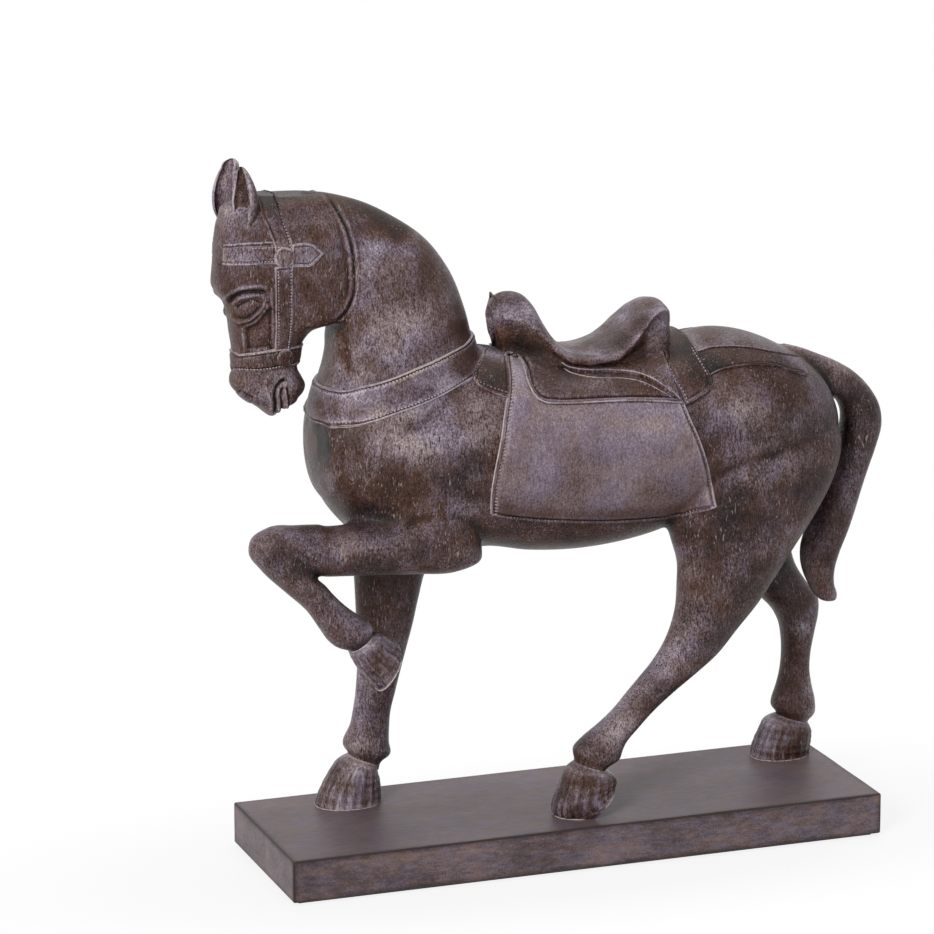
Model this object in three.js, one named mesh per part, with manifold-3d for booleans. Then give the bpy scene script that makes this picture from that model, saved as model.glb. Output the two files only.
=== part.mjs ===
// Walking horse figurine in saddle and bridle, one forefoot raised, on a flat plinth.
// Millimetres, +Z up, the horse faces -X and its left side is towards -Y.
// The origin is on the table, at the centre of the plinth.

import * as THREE from 'three';
import { mergeVertices } from 'three/addons/utils/BufferGeometryUtils.js';
import Module from 'manifold-3d';

const wasm = await Module();
wasm.setup();

// Plinth and the felt glued under it.
const plinthLength = 330;
const plinthWidth = 104;
const plinthHeight = 22.5;
const plinthEdgeRadius = 2;
const feltThickness = 1.5;
const feltInset = 4;

// Steel rods that hold the three standing hooves to the plinth.
const rodRadius = 2;
const rodRecess = 1;
const nutAcrossFlats = 7;
const nutHeight = 3.2;
const washerRadius = 6;
const washerThickness = 1;
const counterboreRadius = 8;
const counterboreDepth = 8;
const foreRodHeight = 74;
const hindForwardRodHeight = 22;
const hindBackRodHeight = 70;

// Fit of one casting in the next.
const gap = 0.3;
const pegRadius = 4;
const pegLength = 14;
const pegRoot = 4;

// Stance: the hooves stand this far to each side of the middle.
const stance = 30;
const legSeatHeight = 136;
const foreArmSeatX = -88;
const headSeatX = -108;
const headSeatZ = 303;
const tailSeatX = 145;
const tailSeatZ = 221.5;

// The neck casting ends in a sloping face under the breast collar.
const collarFrontX = -135;
const collarFrontZ = 222;
const withersX = -49;
const withersZ = 244;

// Saddlery: how far each layer stands off the body.
const clothThickness = 1.6;
const strapThickness = 1.3;
const skirtThickness = 2;
const flapThickness = 2.2;
const padRoll = 3;
const bridleThickness = 1.3;
const rosetteThickness = 1.6;
const browRosette = { x: -155, z: 308.3, radius: 5 };
const noseRosette = { x: -154, z: 254.3, radius: 4 };

// Ears: distance of each from the middle.
const earSpread = 13;

// How finely the castings are faceted.
const bodySides = 24;
const legSides = 14;
const smallSides = 14;
const roundSides = 20;

// Larger than the whole object, for cutting planes and slabs.
const reach = 1000;

// A drill starts and ends this far outside the piece that it goes through.
const drillOverrun = 1;

// Each row is one section: front or top edge x and z, back or bottom edge x and z,
// half width, and for the legs its share of the stance. Heights are above the plinth.
const torsoRows = [
  [-136, 212, -136, 198, 8],
  [-134.5, 222, -134.5, 186, 20],
  [-129, 232, -129, 174, 28],
  [-120, 238, -120, 162, 33],
  [-106, 242, -106, 151, 37],
  [-88, 245, -88, 145, 39.5],
  [-66, 247, -66, 143, 41],
  [-45, 248, -45, 143, 41.5],
  [-22, 243, -22, 140.5, 42.5],
  [5, 238.5, 5, 139, 43],
  [30, 238.5, 30, 141, 43],
  [50, 242.5, 50, 145, 42],
  [68, 247.5, 68, 152, 41.5],
  [88, 249.5, 88, 159, 42],
  [106, 246, 106, 162, 41],
  [122, 239, 122, 165, 38],
  [136, 230, 136, 170, 33],
  [146, 219, 146, 177, 26],
  [152, 206, 152, 185, 15],
  [154, 198, 154, 190, 7],
];

const neckRows = [
  [-140, 337, -120, 284, 14],
  [-128, 335.5, -120, 276, 19],
  [-112, 331, -125, 268.5, 21],
  [-92, 321, -127, 260, 23],
  [-75, 308.5, -127.5, 252, 25],
  [-63, 292.5, -129, 245, 27],
  [-55, 273, -132, 235.5, 29.5],
  [-50.5, 256, -135.5, 223, 32],
  [-47, 244, -136, 212, 34.5],
  [-45, 231, -135, 198, 36],
];

const headRows = [
  [-166, 336.5, -134, 336, 9],
  [-179, 333, -127, 334.5, 14],
  [-184, 326, -120, 326, 18.5],
  [-186, 316, -113, 316, 20.5],
  [-186.5, 304, -107, 304, 21.5],
  [-186.5, 292, -105, 292, 22],
  [-183, 283, -108, 280, 22],
  [-180, 276, -117, 272, 20.5],
  [-178.5, 269, -133, 268.5, 17],
  [-177.5, 263, -142, 262, 14],
  [-176.5, 255, -143, 255, 12.8],
  [-176, 247, -145, 247, 12.3],
  [-177, 240, -141.5, 240, 13.2],
  [-175, 234, -143, 234, 12.8],
  [-169, 229.5, -148, 229, 10.5],
  [-163, 226, -152, 226, 7],
];

const earRows = [
  [-180, 318, -170, 318, 3.6],
  [-182.5, 326, -168, 326, 4.6],
  [-183, 335, -167.5, 335, 4.8],
  [-181.5, 344, -169, 344, 4.2],
  [-178.5, 350.5, -171.5, 350.5, 3],
  [-176.3, 354, -173.8, 354, 1.2],
];

const tailRows = [
  [126, 238.5, 126, 222, 5],
  [136, 235.5, 134, 216, 7],
  [147, 231, 143, 212, 8],
  [156, 227, 150.5, 208, 9],
  [166, 221, 155.5, 204.5, 10],
  [175, 212.5, 158.5, 200, 11],
  [181.5, 202, 160, 194, 12],
  [183, 192, 160, 188, 12],
  [180, 180, 159, 179.5, 12],
  [176, 169, 156.5, 170, 12],
  [172, 157, 152, 158.5, 12],
  [168.5, 145, 147, 147, 11.8],
  [164.5, 133, 142, 135, 11.4],
  [160, 122, 139.2, 124, 10.8],
  [157.3, 112.5, 140, 114, 10],
  [157.3, 104.5, 143.5, 105, 8.7],
  [159.3, 97.5, 148, 97.5, 7.5],
  [159, 94.8, 151, 94.8, 5],
];

const foreRaised = {
  side: -1,
  limb: [
    [-78, 188, -50, 154, 9, 0.9],
    [-88, 175, -52, 144, 13, 0.9],
    [-98, 170, -68, 139, 14.5, 0.9],
    [-108, 168.5, -90, 139.5, 14.5, 0.9],
    [-122, 168.5, -112, 141, 13.5, 0.9],
    [-138, 169.3, -130, 142, 12.5, 0.9],
    [-154, 170.3, -141, 143, 12, 0.9],
    [-168, 170.3, -145, 145, 12, 0.9],
    [-177, 165.5, -146, 146, 12, 0.9],
    [-178.7, 158, -146, 144, 12, 0.9],
    [-172.5, 148.5, -143, 141.5, 11, 0.9],
    [-160, 136, -138.5, 137.5, 9.7, 0.9],
    [-149, 125.5, -134, 132, 8.8, 0.9],
    [-141.5, 114.5, -127, 125, 9, 0.9],
    [-136.5, 107.3, -119.5, 119, 10, 0.9],
    [-131, 103.5, -114, 113.5, 10, 0.9],
    [-126.5, 102, -114.5, 110, 8, 0.9],
    [-123, 97, -111, 106, 7.5, 0.9],
  ],
  hoof: [
    [-126.3, 101.8, -114.3, 110.2, 8, 0.9],
    [-125.2, 99, -110, 109.5, 10, 0.9],
    [-121, 91.5, -103.5, 104.5, 11, 0.9],
    [-115.5, 84.5, -100.5, 100.5, 11.5, 0.9],
    [-109.5, 78, -99, 95.5, 11.5, 0.9],
  ],
};

const forePlanted = {
  side: 1,
  rodX: -97,
  rodHeight: foreRodHeight,
  limb: [
    [-118, 186, -58, 172, 10, 0.93],
    [-113, 166, -54, 154, 15, 0.97],
    [-107, 148, -57, 139, 15.5, 1],
    [-104, 128, -65, 125, 13.5, 1],
    [-103, 112, -69, 110, 12, 1],
    [-102.5, 98, -72.3, 96, 11.5, 1],
    [-102, 84, -76, 83, 11, 1],
    [-102.3, 72, -79.3, 71, 10.3, 1],
    [-103.2, 60, -82.3, 59, 9.3, 1],
    [-104.7, 50.5, -84.7, 49.5, 9, 1],
    [-106.5, 42, -85.6, 40, 9.7, 1],
    [-110, 35, -85.7, 32, 10.7, 1],
    [-110.3, 31.5, -85, 25.7, 10.7, 1],
    [-107.8, 27.8, -90, 22, 8.4, 1],
    [-107, 22, -91.5, 17, 8, 1],
  ],
  hoof: [
    [-107.5, 27, -91.5, 20.8, 8.2, 1],
    [-112.3, 24.5, -92.3, 18, 10.8, 1],
    [-119, 16, -91, 12, 12.3, 1],
    [-124, 7, -90.5, 5.5, 13, 1],
    [-126.8, -2, -90.7, -2, 13.4, 1],
  ],
};

const hindForward = {
  side: -1,
  rodX: -1,
  rodHeight: hindForwardRodHeight,
  limb: [
    [60, 198, 140, 214, 12, 0.73],
    [50, 176, 150, 190, 19, 0.73],
    [50, 158, 146, 172, 20.5, 0.75],
    [54, 143, 136, 154, 20, 0.78],
    [57, 131, 124, 138, 18.5, 0.83],
    [56.5, 119, 112, 122, 16.5, 0.88],
    [55, 106, 101, 107, 14, 0.92],
    [51.5, 94.5, 89.5, 94, 12, 0.93],
    [46.7, 85, 78, 80.7, 10.7, 0.93],
    [41, 77, 66.5, 71.8, 10.3, 0.93],
    [35, 70.5, 53, 62, 9.5, 0.93],
    [27.5, 62.5, 41.2, 52.3, 8.8, 0.93],
    [20, 54.4, 32.5, 43.6, 8.6, 0.93],
    [11.5, 47.2, 26.5, 37.3, 9.2, 0.93],
    [3, 41, 24.3, 33, 10.3, 0.93],
    [-2.3, 35.5, 22.3, 28, 10.7, 0.93],
    [-1.5, 30, 15.5, 24, 8.7, 0.93],
    [-1.5, 25, 14, 20, 8, 0.93],
  ],
  hoof: [
    [-1, 29, 14, 23.6, 8.3, 0.93],
    [-6, 25.5, 18.5, 21, 10.8, 0.93],
    [-9.3, 18.5, 21, 17.2, 12.3, 0.93],
    [-12.3, 10.5, 20.8, 16, 13, 0.93],
    [-14, 3, 20.4, 15, 13.2, 0.93],
    [-9, -4, 20.1, 14.4, 13.2, 0.93],
    [1, -4, 19.8, 13.8, 13, 0.93],
  ],
};

const hindBack = {
  side: 1,
  rodX: 150,
  rodHeight: hindBackRodHeight,
  limb: [
    [70, 201, 138, 212, 12, 0.73],
    [72, 179, 150, 188, 18.5, 0.73],
    [82, 161, 149, 169, 19.5, 0.77],
    [93, 144, 145, 152, 18.5, 0.82],
    [103, 127, 141.5, 137, 16.5, 0.88],
    [112, 111, 143, 123, 14, 0.93],
    [121, 98.5, 147.5, 109, 12, 0.97],
    [129.5, 90, 155.5, 97, 11, 1],
    [136, 83, 161.8, 88.5, 10.8, 1],
    [140, 75.5, 162, 80.5, 10.6, 1],
    [141.8, 67, 160, 70, 9.7, 1],
    [142.3, 58, 158, 59, 9, 1],
    [141.5, 48, 157.5, 48, 8.8, 1],
    [139.3, 39, 159.3, 38, 9.3, 1],
    [136.8, 31, 161.2, 29, 10.7, 1],
    [137, 27.2, 160.8, 22.3, 10.7, 1],
    [139.8, 24, 157.5, 19, 8.7, 1],
    [139.5, 19, 156.5, 14, 8, 1],
  ],
  hoof: [
    [139.5, 23.3, 156.8, 18, 8.5, 1],
    [134.5, 21.6, 158.5, 15, 11, 1],
    [129.5, 14, 159, 10, 12.4, 1],
    [126, 6.5, 158.3, 4.5, 13, 1],
    [124.4, -2, 157.6, -2, 13.3, 1],
  ],
};

const legs = { foreRaised, forePlanted, hindForward, hindBack };

// Saddle seat from pommel to cantle: top x and z, bottom x and z, half width.
const seatRows = [
  [-39, 272.5, -36, 250, 7],
  [-36.5, 276, -35, 246, 12],
  [-30.5, 277.3, -31, 243, 14.5],
  [-23, 275.5, -24, 240, 16],
  [-15, 265.5, -16, 238, 17],
  [-7, 253, -7, 236, 18],
  [4, 247, 4, 234, 19],
  [16, 247, 16, 233, 20],
  [28, 252.5, 28, 234, 21.5],
  [37, 260, 37, 235, 23],
  [44.5, 267, 45, 237, 24],
  [50.5, 267, 50.5, 238, 23],
  [54.5, 261, 53.5, 242, 19],
];

// Outlines of the saddlery, seen from the side, in x and z above the plinth.
const collarOutline = [
  [-150, 234],
  [-133, 236],
  [-118, 240],
  [-100, 245.5],
  [-80, 251],
  [-64, 255.5],
  [-40, 262],
  [-40, 243],
  [-60, 238],
  [-82, 231.5],
  [-102, 226],
  [-120, 220],
  [-136, 217.5],
  [-150, 213],
];

const clothOutline = [
  [-33, 262],
  [-39, 243],
  [-43, 232],
  [-47, 216],
  [-49, 205],
  [-51, 192],
  [-54, 176],
  [-54, 169.5],
  [-34, 165],
  [-14, 162.5],
  [5, 161],
  [25, 160],
  [45, 159.5],
  [71, 162],
  [66, 180],
  [62, 195],
  [58, 209],
  [54, 221],
  [50, 240],
  [50, 262],
];

const skirtOutline = [
  [-30, 256],
  [-30, 244.5],
  [-25, 241.5],
  [-25, 234],
  [-23, 228],
  [-18, 225.5],
  [-8, 224.5],
  [10, 224.5],
  [28, 224.2],
  [41, 223],
  [53, 221.5],
  [48.7, 230],
  [47.7, 240],
  [54, 262],
];

const flapOutline = [
  [-12, 262],
  [-6, 241],
  [0, 237.5],
  [10, 236.5],
  [24, 235.5],
  [35, 234],
  [42, 231],
  [47.5, 228],
  [46.8, 240],
  [52, 262],
];

const rearPadOutline = [
  [55, 262],
  [48.5, 240],
  [49.5, 230],
  [54, 221.5],
  [62, 222.5],
  [68, 229],
  [67.5, 238],
  [67, 262],
];

const frontPadOutline = [
  [-38, 262],
  [-38, 246],
  [-43, 231],
  [-51, 235],
  [-57, 239],
  [-59, 242],
  [-54, 246],
  [-47, 252],
  [-45, 262],
];

const crupperOutline = [
  [66, 243],
  [80, 243.5],
  [95, 242.5],
  [108, 240],
  [118, 237],
  [128, 236.5],
  [128, 226],
  [122, 228],
  [112, 231.5],
  [100, 234.5],
  [88, 235.8],
  [66, 232.5],
];

const browbandOutline = [
  [-200, 313],
  [-184, 312.5],
  [-152, 314.5],
  [-132, 313],
  [-132, 302],
  [-152, 304.5],
  [-184, 303.2],
  [-200, 303],
];

const crownOutline = [
  [-169, 350],
  [-166.5, 331],
  [-164, 322],
  [-161, 315],
  [-150, 313.5],
  [-152, 320.5],
  [-155, 329],
  [-156, 350],
];

const cheekOutline = [
  [-160.5, 303],
  [-150.5, 304],
  [-151, 280],
  [-149.5, 258.5],
  [-158.5, 258],
  [-160, 280],
];

const nosebandOutline = [
  [-200, 256],
  [-160, 257],
  [-130, 259],
  [-130, 250],
  [-160, 248],
  [-200, 246.5],
];

const dirAlongX = new THREE.Vector3(1, 0, 0);
const dirUp = new THREE.Vector3(0, 0, 1);
const ground = new THREE.Vector3(0, 0, 0);
const cylinderAxis = new THREE.Vector3(0, 1, 0);

// The tail leaves the rump backwards and a little down.
const tailSeat = new THREE.Vector3(tailSeatX, 0, tailSeatZ);
const outOfRump = new THREE.Vector3(0.93, 0, -0.37).normalize();
const intoRump = outOfRump.clone().negate();

// A closed mesh as a solid, so that it can be joined and cut.
function solid(geometry) {
  const bare = geometry.clone();
  bare.deleteAttribute('normal');
  bare.deleteAttribute('uv');
  const merged = mergeVertices(bare, 1e-5);
  const vertProperties = new Float32Array(merged.attributes.position.array);
  const triVerts = new Uint32Array(merged.index.array);
  return new wasm.Manifold(new wasm.Mesh({ numProp: 3, vertProperties, triVerts }));
}

function geometryOf(manifold) {
  const mesh = manifold.getMesh();
  const geometry = new THREE.BufferGeometry();
  geometry.setAttribute('position', new THREE.BufferAttribute(new Float32Array(mesh.vertProperties), 3));
  geometry.setIndex(new THREE.BufferAttribute(new Uint32Array(mesh.triVerts), 1));
  geometry.computeVertexNormals();
  return geometry;
}

function superellipse(value, roundness) {
  return Math.sign(value) * Math.abs(value) ** (2 / roundness);
}

// A body through the rows: each section is an ellipse made fuller by roundness,
// and taper narrows it towards the front or top edge.
function loft(rows, shape = {}) {
  const { side = 0, grow = 0, sides = legSides, roundness = 2.15, taper = 0 } = shape;
  const positions = [];
  const centres = [];
  for (const [frontX, frontZ, backX, backZ, halfWidth, share = 0] of rows) {
    const middle = new THREE.Vector3((frontX + backX) / 2, side * stance * share, (frontZ + backZ) / 2);
    const edge = new THREE.Vector3((frontX - backX) / 2, 0, (frontZ - backZ) / 2);
    edge.setLength(edge.length() + grow);
    centres.push(middle);
    for (let j = 0; j < sides; j += 1) {
      const angle = (2 * Math.PI * j) / sides;
      const along = superellipse(Math.cos(angle), roundness);
      const across = superellipse(Math.sin(angle), roundness) * (1 - taper * along);
      const point = middle.clone().addScaledVector(edge, along);
      point.y += (halfWidth + grow) * across;
      positions.push(point);
    }
  }
  return closedRings(positions, centres, sides, grow);
}

// Rings of points joined by triangles, with a shallow cone over each end ring.
function closedRings(positions, centres, sides, grow) {
  const last = centres.length - 1;
  const startTip = centres[0].clone();
  const endTip = centres[last].clone();
  startTip.addScaledVector(centres[0].clone().sub(centres[1]).normalize(), grow);
  endTip.addScaledVector(centres[last].clone().sub(centres[last - 1]).normalize(), grow);
  const points = [...positions, startTip, endTip];
  const faces = [];
  for (let i = 0; i < last; i += 1) {
    for (let j = 0; j < sides; j += 1) {
      const next = (j + 1) % sides;
      const a = i * sides + j;
      const b = i * sides + next;
      faces.push(a, b, b + sides, a, b + sides, a + sides);
    }
  }
  for (let j = 0; j < sides; j += 1) {
    const next = (j + 1) % sides;
    faces.push(positions.length, next, j);
    faces.push(positions.length + 1, last * sides + j, last * sides + next);
  }
  const geometry = new THREE.BufferGeometry().setFromPoints(points);
  geometry.setIndex(faces);
  if (signedVolume(points, faces) < 0) {
    geometry.setIndex(faces.slice().reverse());
  }
  return solid(geometry);
}

function signedVolume(points, faces) {
  let sum = 0;
  const cross = new THREE.Vector3();
  for (let i = 0; i < faces.length; i += 3) {
    cross.crossVectors(points[faces[i + 1]], points[faces[i + 2]]);
    sum += points[faces[i]].dot(cross);
  }
  return sum / 6;
}

// Everything on the side of a plane that its direction points to.
function halfSpace(point, direction) {
  const box = new THREE.BoxGeometry(reach, reach, reach);
  box.translate(0, 0, reach / 2);
  const turn = new THREE.Quaternion().setFromUnitVectors(dirUp, direction.clone().normalize());
  box.applyQuaternion(turn);
  box.translate(point.x, point.y, point.z);
  return solid(box);
}

// A round bar from one point along a direction.
function bar(start, direction, radius, length, sides = smallSides) {
  const cylinder = new THREE.CylinderGeometry(radius, radius, length, sides);
  cylinder.translate(0, length / 2, 0);
  cylinder.applyQuaternion(new THREE.Quaternion().setFromUnitVectors(cylinderAxis, direction));
  cylinder.translate(start.x, start.y, start.z);
  return solid(cylinder);
}

// A flat outline in x and z, pushed through the body from one y to another.
function slab(outline, yFrom = -reach / 2, yTo = reach / 2) {
  const shape = new THREE.Shape(outline.map(([x, z]) => new THREE.Vector2(x, z)));
  const block = new THREE.ExtrudeGeometry(shape, { depth: yTo - yFrom, bevelEnabled: false });
  block.rotateX(Math.PI / 2);
  block.translate(0, yTo, 0);
  return solid(block);
}

// A peg on one casting and the socket for it in the other, on the same axis.
function peg(seat, direction) {
  const start = seat.clone().addScaledVector(direction, -pegRoot);
  return bar(start, direction, pegRadius, pegRoot + pegLength);
}

function socket(seat, direction) {
  const start = seat.clone().addScaledVector(direction, -pegRoot);
  return bar(start, direction, pegRadius + gap, pegRoot + pegLength + gap);
}

const torsoLoft = (grow) => loft(torsoRows, { grow, sides: bodySides, roundness: 2.25 });
const neckLoft = (grow) => loft(neckRows, { grow, sides: bodySides, roundness: 2.15, taper: 0.12 });
const headLoft = (grow) => loft(headRows, { grow, sides: bodySides, roundness: 2.5 });
const limbLoft = (leg, grow) => loft(leg.limb, { grow, side: leg.side });
const tailLoft = (grow) => loft(tailRows, { grow });
const seatLoft = (grow) => loft(seatRows, { grow, sides: smallSides, roundness: 2.4 });

// Where each leg casting meets the body, and the way its peg points.
function limbSeat(leg) {
  if (leg === foreRaised) {
    const row = leg.limb[3];
    const y = leg.side * stance * row[5];
    return { point: new THREE.Vector3(foreArmSeatX, y, (row[1] + row[3]) / 2), direction: dirAlongX };
  }
  const row = leg.limb.find((candidate) => (candidate[1] + candidate[3]) / 2 < legSeatHeight);
  const y = leg.side * stance * row[5];
  return { point: new THREE.Vector3((row[0] + row[2]) / 2, y, legSeatHeight), direction: dirUp };
}

// The body without gaps: barrel, neck and the tops of the legs, grown by one distance.
const skins = new Map();
function bodySkin(grow) {
  if (!skins.has(grow)) {
    let skin = torsoLoft(grow).add(neckLoft(grow));
    for (const leg of Object.values(legs)) {
      const seat = limbSeat(leg);
      skin = skin.add(limbLoft(leg, grow).intersect(halfSpace(seat.point, seat.direction)));
    }
    skin = skin.add(tailLoft(grow).intersect(halfSpace(tailSeat, intoRump)));
    skins.set(grow, skin);
  }
  return skins.get(grow);
}

const headSkins = new Map();
function headSkin(grow) {
  if (!headSkins.has(grow)) {
    headSkins.set(grow, headLoft(grow));
  }
  return headSkins.get(grow);
}

// The part of the body that belongs to the neck casting, above the collar face.
const collarSlope = new THREE.Vector3(withersX - collarFrontX, 0, withersZ - collarFrontZ);
const collarNormal = new THREE.Vector3(-collarSlope.z, 0, collarSlope.x).normalize();
function neckRegion(grow) {
  const front = new THREE.Vector3(collarFrontX, 0, collarFrontZ).addScaledVector(collarNormal, -grow);
  const backStop = new THREE.Vector3(withersX + grow, 0, 0);
  return halfSpace(front, collarNormal).intersect(halfSpace(backStop, dirAlongX.clone().negate()));
}

const neckSeat = new THREE.Vector3(
  (collarFrontX + withersX) / 2,
  0,
  (collarFrontZ + withersZ) / 2,
);
const headSeat = new THREE.Vector3(headSeatX, 0, headSeatZ);
const intoTorso = collarNormal.clone().negate();

function torsoCasting() {
  let body = bodySkin(0).subtract(neckRegion(gap)).subtract(socket(neckSeat, intoTorso));
  for (const leg of Object.values(legs)) {
    const seat = limbSeat(leg);
    body = body.subtract(socket(seat.point, seat.direction));
  }
  return body.subtract(socket(tailSeat, intoRump));
}

function neckCasting() {
  const body = torsoLoft(0).add(neckLoft(0)).intersect(neckRegion(0));
  return body.subtract(headLoft(gap)).add(peg(neckSeat, intoTorso)).subtract(socket(headSeat, dirAlongX));
}

function headCasting() {
  return headLoft(0).add(peg(headSeat, dirAlongX));
}

function earCasting(side) {
  const rows = earRows.map((row) => [...row, earSpread / stance]);
  const ear = loft(rows, { side, sides: smallSides, roundness: 2 });
  return ear.subtract(headLoft(gap));
}

function tailCasting() {
  const start = tailSeat.clone().addScaledVector(outOfRump, gap);
  const tail = tailLoft(0).intersect(halfSpace(start, outOfRump));
  return tail.subtract(torsoLoft(gap)).add(peg(tailSeat, intoRump));
}

function legCasting(leg) {
  const seat = limbSeat(leg);
  const edge = seat.point.clone().addScaledVector(seat.direction, -gap);
  let casting = limbLoft(leg, 0).intersect(halfSpace(edge, seat.direction.clone().negate()));
  casting = casting.subtract(torsoLoft(gap));
  casting = casting.add(loft(leg.hoof, { side: leg.side }));
  casting = casting.intersect(halfSpace(ground, dirUp));
  casting = casting.add(peg(seat.point, seat.direction));
  if (leg.rodX !== undefined) {
    const foot = new THREE.Vector3(leg.rodX, leg.side * stance, -plinthHeight);
    casting = casting.subtract(bar(foot, dirUp, rodRadius + gap, plinthHeight + leg.rodHeight + gap));
  }
  return casting;
}

// A layer of leather or cloth between two distances from the skin.
function relief(outline, skin, inner, outer, yFrom, yTo) {
  return slab(outline, yFrom, yTo).intersect(skin(outer)).subtract(skin(inner));
}

// The same layer with room around it, for cutting a piece that lies over it.
function grownOutline(outline, distance) {
  const count = outline.length;
  const turning = THREE.ShapeUtils.isClockWise(outline.map(([x, z]) => new THREE.Vector2(x, z))) ? -1 : 1;
  return outline.map(([x, z], i) => {
    const [beforeX, beforeZ] = outline[(i + count - 1) % count];
    const [afterX, afterZ] = outline[(i + 1) % count];
    const along = new THREE.Vector2(afterX - beforeX, afterZ - beforeZ).setLength(turning * distance);
    return [x + along.y, z - along.x];
  });
}

const collarTop = gap + strapThickness;
const clothTop = gap + clothThickness;
const skirtTop = clothTop + gap + skirtThickness;
const flapTop = skirtTop + gap + flapThickness;
const padTop = clothTop + gap + padRoll;

const collar = relief(collarOutline, bodySkin, gap, collarTop);
const cloth = relief(clothOutline, bodySkin, gap, clothTop);

// Room for a finished layer, cut from whatever lies over or against it.
function cover(outline, top) {
  return slab(grownOutline(outline, 2 * gap)).intersect(bodySkin(top + gap));
}
const coverCollar = cover(collarOutline, collarTop);
const coverCloth = cover(clothOutline, clothTop);

function saddleSkirt() {
  return relief(skirtOutline, bodySkin, clothTop + gap, skirtTop);
}

function saddleFlap() {
  return relief(flapOutline, bodySkin, skirtTop + gap, flapTop);
}

function saddleSeat() {
  const onLayers = seatLoft(0).subtract(cover(flapOutline, flapTop)).subtract(cover(skirtOutline, skirtTop));
  return onLayers.subtract(bodySkin(clothTop + gap));
}

function rearPad() {
  const pad = relief(rearPadOutline, bodySkin, gap, padTop).subtract(coverCloth);
  return pad.subtract(seatLoft(gap));
}

function frontPad() {
  const pad = relief(frontPadOutline, bodySkin, gap, padTop);
  return pad.subtract(coverCloth).subtract(coverCollar);
}

// From just beside the middle to beyond the object, on the left or the right.
function sideRange(side) {
  return side < 0 ? [-reach / 2, -gap] : [gap, reach / 2];
}

function crupper(side) {
  const strap = relief(crupperOutline, bodySkin, gap, collarTop, ...sideRange(side));
  return strap.subtract(cover(rearPadOutline, padTop));
}

const strapTop = gap + bridleThickness;
function bridleStrap(outline, range = []) {
  return relief(outline, headSkin, gap, strapTop, ...range);
}

// The strap over the poll, ending at the browband on both sides.
function crownStrap() {
  const coverBrow = slab(grownOutline(browbandOutline, gap)).intersect(headSkin(strapTop + gap));
  return bridleStrap(crownOutline).subtract(coverBrow);
}

// A round boss on the outer face of the straps.
function rosette({ x, z, radius }, side) {
  const middle = new THREE.Vector3(x, 0, z);
  const outward = new THREE.Vector3(0, side, 0);
  const post = bar(middle, outward, radius, reach / 2);
  return post.intersect(headSkin(strapTop + gap + rosetteThickness)).subtract(headSkin(strapTop + gap));
}

function roundedPlinth() {
  const halfLength = plinthLength / 2 - plinthEdgeRadius;
  const halfWidth = plinthWidth / 2 - plinthEdgeRadius;
  const shape = new THREE.Shape();
  shape.moveTo(-halfLength, -halfWidth);
  shape.lineTo(halfLength, -halfWidth);
  shape.lineTo(halfLength, halfWidth);
  shape.lineTo(-halfLength, halfWidth);
  const block = new THREE.ExtrudeGeometry(shape, {
    depth: plinthHeight - 2 * plinthEdgeRadius,
    bevelThickness: plinthEdgeRadius,
    bevelSize: plinthEdgeRadius,
    bevelSegments: 3,
    curveSegments: 4,
  });
  block.translate(0, 0, plinthEdgeRadius);
  return solid(block);
}

const standingLegs = [
  ['fore_right', forePlanted],
  ['hind_left', hindForward],
  ['hind_right', hindBack],
];

// The plinth, drilled and counterbored from below for each rod.
function plinthCasting() {
  let plinth = roundedPlinth();
  for (const [, leg] of standingLegs) {
    const bottom = new THREE.Vector3(leg.rodX, leg.side * stance, -drillOverrun);
    plinth = plinth.subtract(bar(bottom, dirUp, rodRadius + gap, plinthHeight + 2 * drillOverrun));
    const depth = counterboreDepth + drillOverrun;
    plinth = plinth.subtract(bar(bottom, dirUp, counterboreRadius, depth, roundSides));
  }
  return plinth;
}

function ringCasting(outerRadius, height, sides) {
  const below = new THREE.Vector3(0, 0, -drillOverrun);
  const body = bar(ground, dirUp, outerRadius, height, sides);
  return body.subtract(bar(below, dirUp, rodRadius + gap, height + 2 * drillOverrun));
}

const resin = { color: 0x4a3b33, roughness: 0.55, metalness: 0 };
const tack = { color: 0x54453b, roughness: 0.5, metalness: 0 };
const stand = { color: 0x3f3836, roughness: 0.6, metalness: 0 };
const steel = { color: 0x9a9a9c, roughness: 0.35, metalness: 1 };
const baize = { color: 0x1f1c1a, roughness: 0.95, metalness: 0 };

function piece(name, shape, look, x = 0, y = 0, z = 0) {
  const geometry = shape instanceof THREE.BufferGeometry ? shape : geometryOf(shape);
  const mesh = new THREE.Mesh(geometry, new THREE.MeshStandardMaterial(look));
  mesh.name = name;
  mesh.position.set(x, y, z);
  return mesh;
}

function buildStand(root) {
  root.add(piece('plinth', plinthCasting(), stand, 0, 0, feltThickness));
  const feltLength = plinthLength - 2 * feltInset;
  const feltWidth = plinthWidth - 2 * feltInset;
  const felt = new THREE.BoxGeometry(feltLength, feltWidth, feltThickness);
  root.add(piece('felt', felt, baize, 0, 0, feltThickness / 2));
  const seatZ = feltThickness + counterboreDepth;
  for (const [name, leg] of standingLegs) {
    const y = leg.side * stance;
    const rodLength = plinthHeight + leg.rodHeight - rodRecess;
    const rod = bar(ground, dirUp, rodRadius, rodLength);
    root.add(piece(`rod_${name}`, rod, steel, leg.rodX, y, feltThickness + rodRecess));
    const washer = ringCasting(washerRadius, washerThickness, roundSides);
    root.add(piece(`washer_${name}`, washer, steel, leg.rodX, y, seatZ - washerThickness));
    const nut = ringCasting(nutAcrossFlats / Math.sqrt(3), nutHeight, 6);
    root.add(piece(`nut_${name}`, nut, steel, leg.rodX, y, seatZ - washerThickness - nutHeight));
  }
}

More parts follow.
